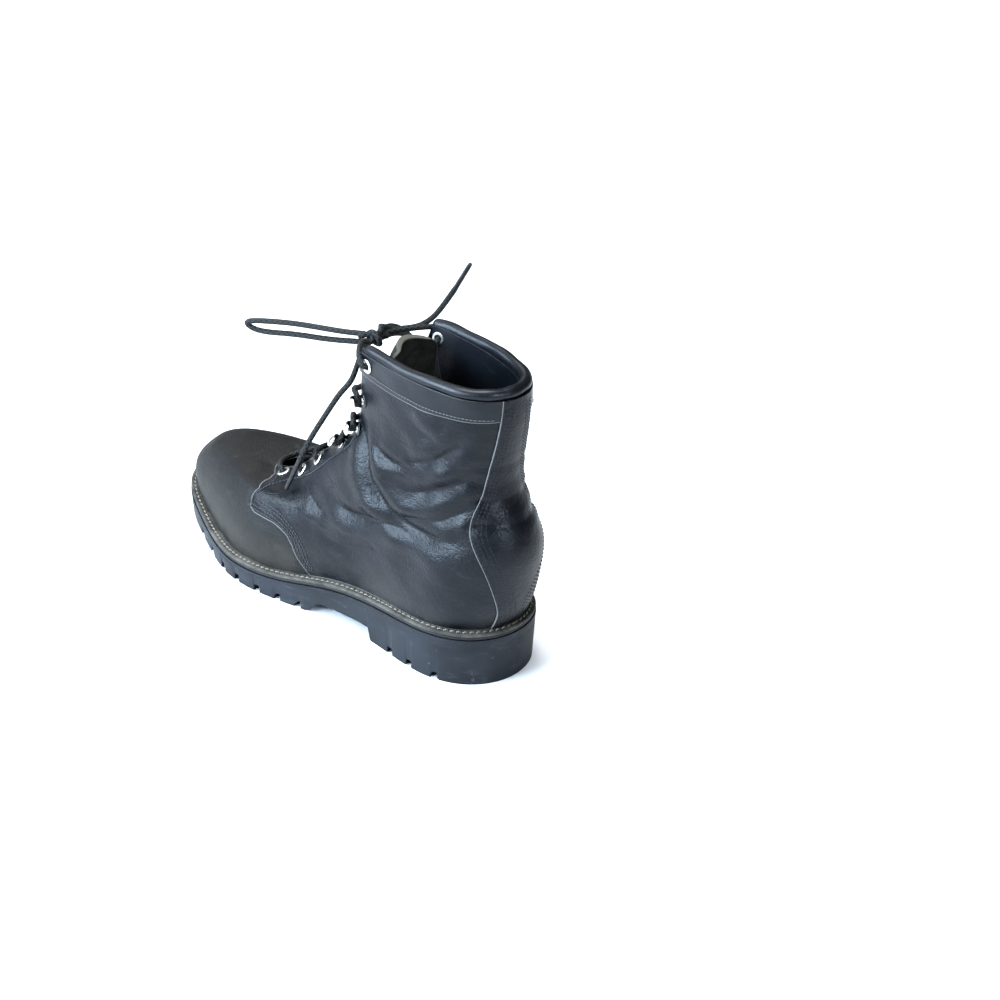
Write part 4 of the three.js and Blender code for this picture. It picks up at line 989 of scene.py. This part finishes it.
OUTER_ROW = ([65, 70, 77, 82, 86, 90, 92, 94], [0.247, 0.247, 0.237, 0.206, 0.172, 0.118, 0.066, 0.026])
BACK_ROW = ([64.5, 72, 77, 83, 86, 89, 92], [0.2, 0.2, 0.197, 0.168, 0.13, 0.07, 0.022])
EYESTAY_ROW = ([57, 47, 40, 38, 42, 45, 44, 44.5], [0.305, 0.372, 0.428, 0.473, 0.523, 0.602, 0.703, 0.79])
EDGE_ROW = ([20, 34, 44, 57.5, 62.5], [0.418, 0.403, 0.372, 0.3, 0.25])
strip_levels = np.linspace(0.03, 0.94, 14)
TOE_ROW_SHARES = (0.05, 0.32, 0.68, 0.95)


def spread_out(values):
    """The same line of values read at nine even places."""
    return np.interp(np.linspace(0, 1, 9), np.linspace(0, 1, len(values)), values)


def between(share):
    """Angles and heights of a row that lies a share of the way from back to outer row."""
    return [mix(spread_out(a), spread_out(b), share) for a, b in zip(BACK_ROW, OUTER_ROW)]


for word, side in SIDES.items():
    toe_rows = [seam(*between(share), side, 1.05) for share in TOE_ROW_SHARES]
    rows = toe_rows + [seam(*EYESTAY_ROW, side, 1.05), seam(*EDGE_ROW, side, 1.05)]
    stitched(f"quarter_seam_{word}", rows, 2.5, 2.05, 0.36, black_thread)
    strip_rows = [seam(backstay_phi(strip_levels) + 1.5 + turn, strip_levels, side, 1.95)
                  for turn in (0.0, 2.8, 5.6, 8.4)]
    stitched(f"heel_strip_seam_{word}", strip_rows, 2.4, 1.95, 0.36, strip_thread)
    angles = np.linspace(41, 156, 12)
    stitched(f"collar_band_seam_{word}", [seam(angles, band_foot(angles) + 0.012, side, 1.95)], 2.5, 2.05,
             0.34, grey_thread)
    inner = np.linspace(60, 178, 12)
    stitched(f"collar_facing_seam_{word}", [seam(inner, bead_foot(inner) - 0.118, side, -6.85, worn=False)],
             3.0, 2.4, 0.35, grey_thread)

# %% [markdown]
# ## Welt, midsole and lug sole
# The welt is a leather strip all round the boot, sewn down with thick pale thread. Under
# it a thin black midsole shows as a line, then the sole: one piece of rubber, thick at
# the heel, thin under the arch, with square lugs cut into its edge.

# %% Welt and midsole
def ring_piece(name, profile, material, node, count=360):
    """A closed band round the sole. The profile gives inset and height above the welt's
    top, as a closed line, and is carried round the outline."""
    phi = np.linspace(-math.pi, math.pi, count, endpoint=False)
    grid = np.empty((count, len(profile), 3))
    for k, (inset, rise) in enumerate(profile):
        edge = outline(phi, inset)
        grid[:, k, :2] = edge
        grid[:, k, 2] = welt_top(edge[:, 1]) + rise
    faces = grid_faces(count, len(profile), True, True)
    piece = link(name, mesh_of(name, grid, faces, 50), material)
    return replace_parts(piece, node)


WELT_PROFILE = [(0.35, -1.9), (0.3, -1.2), (0.35, -0.6), (0.7, -0.15), (1.3, 0), (2.4, 0.02), (2.9, -0.3),
                (3.4, -0.3), (3.9, 0.02), (6, 0.05), (9, 0), (15, 0), (15, -2.3), (7, -2.3), (0.8, -2.3)]
ring_piece("stitched_welt", WELT_PROFILE, welt_leather, "welt")
ring_piece("midsole_edge", [(0.9, -2.6), (0.75, -3), (0.75, -3.8), (0.9, -4.2), (16, -4.2), (16, -2.6)],
           black_edge, "midsole")


def welt_row(share):
    """All round the boot on the welt, 3.2 mm in from its edge."""
    phi = mix(-math.pi, math.pi, share)
    edge = outline(phi, 3.2)
    line = np.column_stack([edge, welt_top(edge[:, 1]) - 0.05])
    return line, np.tile((0.0, 0.0, 1.0), (len(line), 1))


def fine_welt_row(share):
    """The same row at 1600 places, because 400 are too few for a row this long."""
    return welt_row(np.linspace(0, 1, 1600))


stitched("welt_seam", [fine_welt_row], 4.1, 3.3, 0.62, welt_thread, slant=0.22)

# %% [markdown]
# The sole is a loft of cross rows from toe to heel. Each row runs over the ground side,
# up the inner wall, back over the top and down the outer wall. A row lies just before
# and just after each lug wall, so the notches have crisp sides without any cutting.

# %% Lug sole
TREAD = {"spring": 11, "arch": 9, "depth": 5, "groove": 4.5}
FOREPART_END, HEEL_BREAST, SPRING_START = TOE_Y + 159, TOE_Y + 214, TOE_Y + 88
LUGS = [46, 66, 84, 101, 120, 137, 153, 233, 251, 271]
BARS = [56, 75, 92.5, 110.5, 128.5, 145, 242, 261, 281]


def tread_z(y):
    """Toe spring as a power of the way to the toe, and a raised arch between two slopes."""
    spring = TREAD["spring"] * (np.maximum(0, SPRING_START - y) / (SPRING_START - TOE_Y)) ** 1.6
    arch = smooth(FOREPART_END, FOREPART_END + 12, y) * (1 - smooth(HEEL_BREAST - 3, HEEL_BREAST, y))
    return spring + TREAD["arch"] * arch


def walls(y, places, width):
    """1 inside a groove of that width at each place and 0 outside, within 0.3 mm."""
    depth = np.zeros_like(y)
    for place in places:
        depth = np.maximum(depth, smooth(width / 2 + 0.3, width / 2 - 0.1, np.abs(y - TOE_Y - place)))
    return depth


near_walls = [place + gap for place in LUGS for gap in (-2.8, -2.45, -2.1, 2.1, 2.45, 2.8)]
near_bars = [place + gap for place in BARS for gap in (-1.9, -1.6, -1.2, 1.2, 1.6, 1.9)]
slopes = [159, 162, 165, 168, 171, 210.5, 211.2, 212, 213, 214]
ends = SOLE_LENGTH * (1 - np.cos(np.radians(np.linspace(1.5, 178.5, 110)))) / 2
down = np.unique(np.round(np.r_[near_walls, near_bars, slopes, ends], 2))
down = down[np.r_[True, np.diff(down) > 0.12]]
phi = np.arccos(1 - 2 * down / SOLE_LENGTH)
DRAFT = 1.2
g = np.array([0, 0.006, 0.05, 0.12, 0.2, 0.245, 0.255, 0.3, 0.36, 0.42, 0.474, 0.484])
g = np.r_[g, 0.5, 1 - g[::-1]]
outer_foot, inner_foot = outline(phi, DRAFT), outline(-phi, DRAFT)
row = outer_foot[:, None] * (1 - g[:, None]) + inner_foot[:, None] * g[:, None]
in_from_edge = np.minimum(g, 1 - g) * 2
half_width = np.linalg.norm(outer_foot - inner_foot, axis=1) / 2
lean = math.tan(math.radians(8)) * smooth(24, 34, down) * smooth(303, 288, down)
ground_y = row[..., 1]
row = row.copy()
row[..., 1] -= lean[:, None] * in_from_edge * half_width[:, None]
edge_lugs = walls(ground_y, LUGS, TREAD["groove"]) * (in_from_edge < 0.5)
middle_bars = walls(ground_y, BARS, 3.0) * (in_from_edge > 0.5) * 0.7
channel = (in_from_edge > 0.965) * ((down > 58) & (down < 152) | (down > 222) & (down < 292))[:, None] * 0.7
cut = np.maximum(np.maximum(edge_lugs, middle_bars), channel) * smooth(20, 34, down)[:, None]
ground = np.dstack([row, tread_z(ground_y) + TREAD["depth"] * cut])
rise = np.array([0.04, 0.3, 0.55, 0.8, 0.86, 0.9, 0.97])
bulge = np.array([0.0, 0.0, 0.0, 0.05, 0.35, 0.05, 0.0])


def wall(sign):
    """From the ground edge up to the top edge, with a shallow line near the top."""
    foot = ground[:, 0 if sign > 0 else -1]
    grid = []
    for share, inwards in zip(rise, bulge):
        edge = outline(sign * phi, DRAFT * (1 - share) + inwards)
        grid.append(np.column_stack([edge, mix(foot[:, 2], welt_top(edge[:, 1]) - 4.5, share)]))
    return np.stack(grid, 1)


top_right, top_left = outline(phi, 0.1), outline(-phi, 0.1)
h = np.linspace(0, 1, 9)[:, None]
over = top_left[:, None] * (1 - h) + top_right[:, None] * h
over = np.dstack([over, welt_top(over[..., 1]) - 4.5])
loop = np.concatenate([ground, wall(-1), over, wall(1)[:, ::-1]], 1)
rows, columns = loop.shape[:2]
faces = [tuple(f) for f in grid_faces(rows, columns, round_columns=True)]
faces += [tuple(range(columns)), tuple(range(rows * columns - 1, (rows - 1) * columns - 1, -1))]
sole = link("lug_sole", mesh_of("lug_sole", loop, faces, 32), sole_rubber)
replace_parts(sole, "outsole")
print("lug sole:", rows, "rows of", columns)

# %% [markdown]
# ## Eyelets and speed hooks
# The lower rows are eyelets: tubes flared over the leather outside and clinched inside.
# Above them are speed hooks, each a base plate, a strap bent over in a U and a domed
# head, held by a hollow rivet. Round parts are profiles turned about the hole's axis.

# %% Hardware
EYELET_SPOTS = [(28, 0.429), (31, 0.512), (33, 0.588), (50, 0.9557)]
HOOK_SPOTS = [(35, 0.688), (39, 0.782), (41, 0.869)]


def hole_frame(side, spot):
    """Origin, and three directions at a hole: away from the facing, along it, outwards."""
    phi, v = side * math.radians(spot[0]), spot[1]
    out = outward(np.array(phi), np.array(v))
    up = skin(np.array(phi), np.array(v + 0.01)) - skin(np.array(phi), np.array(v - 0.01))
    up = unit(up - out * up.dot(out))
    away = np.cross(up, out) * side
    origin = worn_layer(np.array([phi]), np.array([v]), np.zeros(1))[0]
    return origin, np.stack([away, np.cross(out, away), out])


def turned_part(name, profile, frame_at, material, node=None, sides=40, closed=True):
    """A profile of radius and height turned about the outward direction."""
    origin, axes = frame_at
    turn = np.linspace(0, 2 * math.pi, sides, endpoint=False)[:, None]
    radius, height = np.array(profile, float).T
    local = np.stack(np.broadcast_arrays(np.cos(turn) * radius, np.sin(turn) * radius, height), -1)
    if closed:
        faces = grid_faces(sides, len(profile), True, True)
    else:
        faces = [tuple(f) for f in grid_faces(sides, len(profile), True)]
        ends = np.arange(sides) * len(profile)
        faces += [tuple(ends[::-1]), tuple(ends + len(profile) - 1)]
    piece = link(name, mesh_of(name, origin + local @ axes, faces, 35), material)
    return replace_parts(piece, node) if node else piece


def rounded_line(points, radius, steps=4):
    """A closed profile with each corner replaced by a short arc of points."""
    points = np.array(points, float)
    made = []
    for before, corner, after in zip(np.roll(points, 1, 0), points, np.roll(points, -1, 0)):
        reach_in = min(radius, np.linalg.norm(before - corner) * 0.45)
        reach_out = min(radius, np.linalg.norm(after - corner) * 0.45)
        start = corner + unit(before - corner) * reach_in
        end = corner + unit(after - corner) * reach_out
        k = np.linspace(0, 1, steps)[:, None]
        made.append(start * (1 - k) ** 2 + corner * 2 * k * (1 - k) + end * k ** 2)
    return np.concatenate(made)


LINING_FACE = -5.8
for word, side in SIDES.items():
    for i, spot in enumerate(EYELET_SPOTS):
        face = 1.9 if i == 3 else 1.0
        inside = -6.7 if i == 3 else LINING_FACE
        profile = rounded_line([
            (2.3, inside - 0.7), (4.0, inside - 0.6), (4.0, inside - 0.05), (3.1, inside), (3.1, face),
            (4.6, face + 0.02), (4.55, face + 0.5), (3.4, face + 1.05), (2.5, face + 0.8),
            (2.3, face + 0.3)], 0.5)
        turned_part(f"eyelet_ring_{word}_{i + 1}", profile, hole_frame(side, spot), nickel,
                    f"eyelet_{word}_{i + 1}")
    for i, spot in enumerate(HOOK_SPOTS):
        at = hole_frame(side, spot)
        base, head = 1.0, 8.2
        strap_line = [(2.6, 0, base + 0.35), (0, 0, base + 0.3), (-2.8, 0, base + 0.35),
                      (-4.0, 0, base + 1.0), (-4.3, 0, base + 2.4), (-4.3, 0, head - 1.8),
                      (-3.8, 0, head - 0.6), (-2.6, 0, head), (0.5, 0, head + 0.1)]
        curve = along(strap_line, 0.5)
        ahead, _, _ = frames(curve)
        normal = np.cross(ahead, (0, 1, 0))
        width = np.linspace(-1, 1, 7)[None, :, None] * np.array((0, 2.2, 0))
        outer = curve[:, None] + width + normal[:, None] * 0.45
        inner = curve[:, None] + width - normal[:, None] * 0.45
        points, faces = shell(outer, inner)
        name = f"hook_strap_{word}_{i + 1}"
        # The strap is near black metal as painted shade.
        strap = link(name, mesh_of(name, at[0] + points @ at[1], faces, 40), strap_painted_shade_metal)
        round_edges(strap, 0.3, 2, 30)
        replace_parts(strap, f"speed_hook_{word}_{i + 1}")
        dome = np.linspace(0, math.pi / 2, 9)
        head_at = (at[0] + np.array((1.0, 0, 0)) @ at[1], at[1])
        domed = np.column_stack([3.7 * np.cos(dome) + 0.02, head + 0.1 + 1.7 * np.sin(dome)])
        head_line = [(0.05, head - 0.5), (3.1, head - 0.4), *domed]
        # The domed head is brighter metal as a painted highlight.
        turned_part(f"hook_head_{word}_{i + 1}", head_line, head_at, hook_head_painted_highlight, closed=False)
        stem = [(0.05, LINING_FACE - 0.9), (2.6, LINING_FACE - 0.8), (2.9, LINING_FACE - 0.1),
                (1.3, LINING_FACE), (1.3, base + 0.8), (2.5, base + 0.85), (2.2, base + 1.3),
                (1.2, base + 1.5), (0.05, base + 1.4)]
        turned_part(f"hook_rivet_turned_{word}_{i + 1}", stem, at, nickel, f"hook_rivet_{word}_{i + 1}",
                    28, False)
        plate = rounded_line([(0.1, base - 0.05), (4.5, base - 0.05), (4.3, base + 0.55),
                              (0.1, base + 0.6)], 0.3)
        # The base plate is near black metal as painted shade.
        turned_part(f"hook_base_{word}_{i + 1}", plate, at, strap_painted_shade_metal, None, 32)

# %% [markdown]
# ## The laced part
# The lace starts as a straight bar on the outside and goes in through the lowest holes.
# Each half then zigzags: it comes up through an eyelet, crosses over the tongue and dives
# under the other facing. On the hooks it goes round each strap under the head, and above
# them out through the top eyelet to the knot.

# %% Both halves of the lace
HIGH_CROSSING, LOW_CROSSING, UNDER_HEAD = -1.5, -5.9, 4.3
ROUND_A_HOOK = [(-6.0, -5.6), (-5.2, -3.4), (-1.9, -2.6), (-1.3, 0.6), (-2.4, 3.4), (-5.4, 4.2), (-7, 6.0)]
LEVELS_UP = [(*spot, False) for spot in EYELET_SPOTS[:3]] + [(*spot, True) for spot in HOOK_SPOTS] \
    + [(*EYELET_SPOTS[3], False)]


def on_skin(side, angle, v, offset):
    """One point over the skin on one side."""
    return layer(np.array(side * math.radians(angle)), np.array(v), np.array(offset))


def lace_half(first_side, crossing, ends):
    """Places from the middle of the lowest bar up to the knot, alternating sides."""
    places = [on_skin(first_side, 1, 0.418, 1.6), on_skin(first_side, 14, 0.422, 3.0)]
    side = first_side
    for i, (angle, v, hook) in enumerate(LEVELS_UP):
        if hook:
            origin, axes = hole_frame(side, (angle, v))
            for x, y in ROUND_A_HOOK:
                places.append(origin + np.array((x, y, UNDER_HEAD)) @ axes)
        else:
            face = 2.0 if i < 3 else 3.0
            if i:
                places.append(on_skin(side, angle - 4.5, v - 0.016, -8.6))
                places.append(on_skin(side, angle - 0.5, v - 0.003, -7.2))
            places += [on_skin(side, angle, v, -2.0), on_skin(side, angle + 0.2, v, face)]
            if i == 0:
                places[-2:] = [on_skin(side, angle - 1, v - 0.006, face + 1.9),
                               on_skin(side, angle + 0.6, v, face), on_skin(side, angle, v, -3.0),
                               on_skin(side, angle - 3.5, v + 0.012, -7.8)]
            else:
                places.append(on_skin(side, angle - 1.4, v + 0.008, face + 2.2))
        if i == len(LEVELS_UP) - 1:
            break
        _, after_v, after_hook = LEVELS_UP[i + 1]
        lift = -7.2 if i == 0 else 3.0
        places.append(on_skin(side, facing_phi(mix(v, after_v, 0.25)) - 2, mix(v, after_v, 0.28), lift))
        places.append(on_skin(side, 0.5, mix(v, after_v, 0.52), crossing))
        drop = 3.4 if after_hook else -7.0
        places.append(on_skin(-side, facing_phi(mix(v, after_v, 0.75)) - 3, mix(v, after_v, 0.74), drop))
        side = -side
    return np.array(places + [KNOT + np.array(end) for end in ends])


for name, node, first_side, crossing, ends in (
        ("first_lace_half", "lace_run_first", 1, HIGH_CROSSING, [(12, 1, 1), (6, 0, 0)]),
        ("second_lace_half", "lace_run_second", -1, LOW_CROSSING, [(-14, 0, 0), (-6, 0, 0)])):
    line = along(lace_half(first_side, crossing, ends), 1.0)
    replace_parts(tube(name, line, LACE / 2, lace_braid, 14, rounded=False), node)

# %% [markdown]
# ## The knot
# A bow knot is a strand wrapped once round the crossed strands under it. One tube goes
# round the middle as a tilted ellipse, and three short strands cross inside it.

# %% The bow knot
turn = np.linspace(0, 2 * math.pi, 60, endpoint=False)
wrap = KNOT + np.column_stack([1.6 * np.sin(turn) + 0.6 * np.cos(2 * turn), 4.6 * np.cos(turn),
                               4.1 * np.sin(turn)])
knot = tube("bow_knot_wrap", wrap, LACE / 2, lace_braid, 14, closed=True)
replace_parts(knot, "lace_knot")
crossings = [[(-9, 1, -1), (-4, -1.2, 1.4), (0, -0.6, 1.2), (4, 0.8, -0.6), (8, -4, -3.5)],
             [(9, 0.5, 0.6), (4, -1.8, -1.6), (0, 0.6, -1.4), (-4, 1, 0.6), (-7, -2, 5)],
             [(6, -6, 1.2), (2, -3.2, 2.2), (-2, 0.8, 2.8), (-6, -0.5, 5.2)]]
for number, strand in enumerate(crossings):
    tube(f"knot_strand_{number + 1}", along(KNOT + np.array(strand, float), 0.8), LACE / 2, lace_braid, 14)

# %% [markdown]
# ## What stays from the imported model
# The steel cap, its rubber edge, the shank, the cork, the board, the heel counter and the
# eyestay backings have the right shape as packed. They only need their finishes.

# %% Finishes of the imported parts
steel = plated("cap_steel", (0.42, 0.43, 0.44), 0.38)
cork = plain("granulated_cork", (0.16, 0.085, 0.035), (0.42, 0.27, 0.13), 0.85, 420, 0.0006)
board = plain("insole_board", (0.12, 0.085, 0.05), (0.24, 0.18, 0.12), 0.85, 700)
backing = plain("eyestay_backing", (0.012, 0.012, 0.013), (0.03, 0.03, 0.032), 0.8, 1300)
CAD_FINISHES = {"steel_toe_cap": steel, "toe_cap_edge_strip": black_edge, "shank": steel,
                "cork_filler": cork, "insole_board": board, "heel_counter": board,
                "eyestay_backing_lateral": backing, "eyestay_backing_medial": backing}
for node, finish in CAD_FINISHES.items():
    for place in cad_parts[node].material_slots:
        place.material = finish

# %% [markdown]
# ## Floor and light
# A pale floor that runs out of view, one wide light 3.2 m above it, and three cool
# windows for the leather's highlights, at the outer side, the front and the heel. A
# slightly warm light stands beyond the toe on the inner side, and the sky is dim.

# %% Stage and lamps
def floor_finish():
    f = Finish("pale_floor")
    return f.done(Base_Color=f.colour((0.86, 0.86, 0.86), (0.89, 0.89, 0.89), f.noise(4, 2)), Roughness=0.9)


mesh = bpy.data.meshes.new("floor")
mesh.from_pydata([(-12, -12, 0), (12, -12, 0), (12, 12, 0), (-12, 12, 0)], [], [(0, 1, 2, 3)])
mesh.materials.append(floor_finish())
floor = bpy.data.objects.new("floor", mesh)
bpy.context.scene.collection.objects.link(floor)


def lamp(name, place, aim, size, power, tint=(1, 1, 1)):
    """A square soft light of that size in metres, turned towards a point. The windows
    spread their light over 60 degrees, the others over 180."""
    light = bpy.data.lights.new(name, "AREA")
    light.size, light.energy, light.color = size, power, tint
    if "window" in name:
        light.spread = math.radians(60)
    holder = bpy.data.objects.new(name, light)
    holder.location = place
    holder.rotation_euler = (Vector(aim) - Vector(place)).to_track_quat("-Z", "Y").to_euler()
    bpy.context.scene.collection.objects.link(holder)


lamp("side_window", (1.5, -0.5, 0.72), (0, 0.03, 0.1), 1.05, 11, (0.66, 0.82, 1.0))
lamp("front_window", (0.95, -1.3, 1.15), (0, 0.02, 0.08), 0.8, 4.2, (0.72, 0.86, 1.0))
lamp("heel_window", (0.5, 1.9, 0.95), (0, 0.1, 0.08), 0.6, 2.6, (0.75, 0.87, 1.0))
lamp("tent_top", (0.1, -0.3, 3.2), (0, 0, 0.05), 1.7, 125, (0.95, 0.98, 1.0))
lamp("toe_side", (-0.9, -1.9, 1.5), (0, -0.1, 0.06), 1.2, 8, (1.0, 0.97, 0.93))
world = bpy.data.worlds.new("studio")
bpy.context.scene.world = world
world.use_nodes = True
world.node_tree.nodes["Background"].inputs["Color"].default_value = (0.93, 0.96, 1.0, 1)
world.node_tree.nodes["Background"].inputs["Strength"].default_value = 0.15
bpy.context.scene.view_settings.view_transform = "Standard"
bpy.context.scene.view_settings.look = "Medium High Contrast"

# %% Update the scene at the end
bpy.context.view_layer.update()
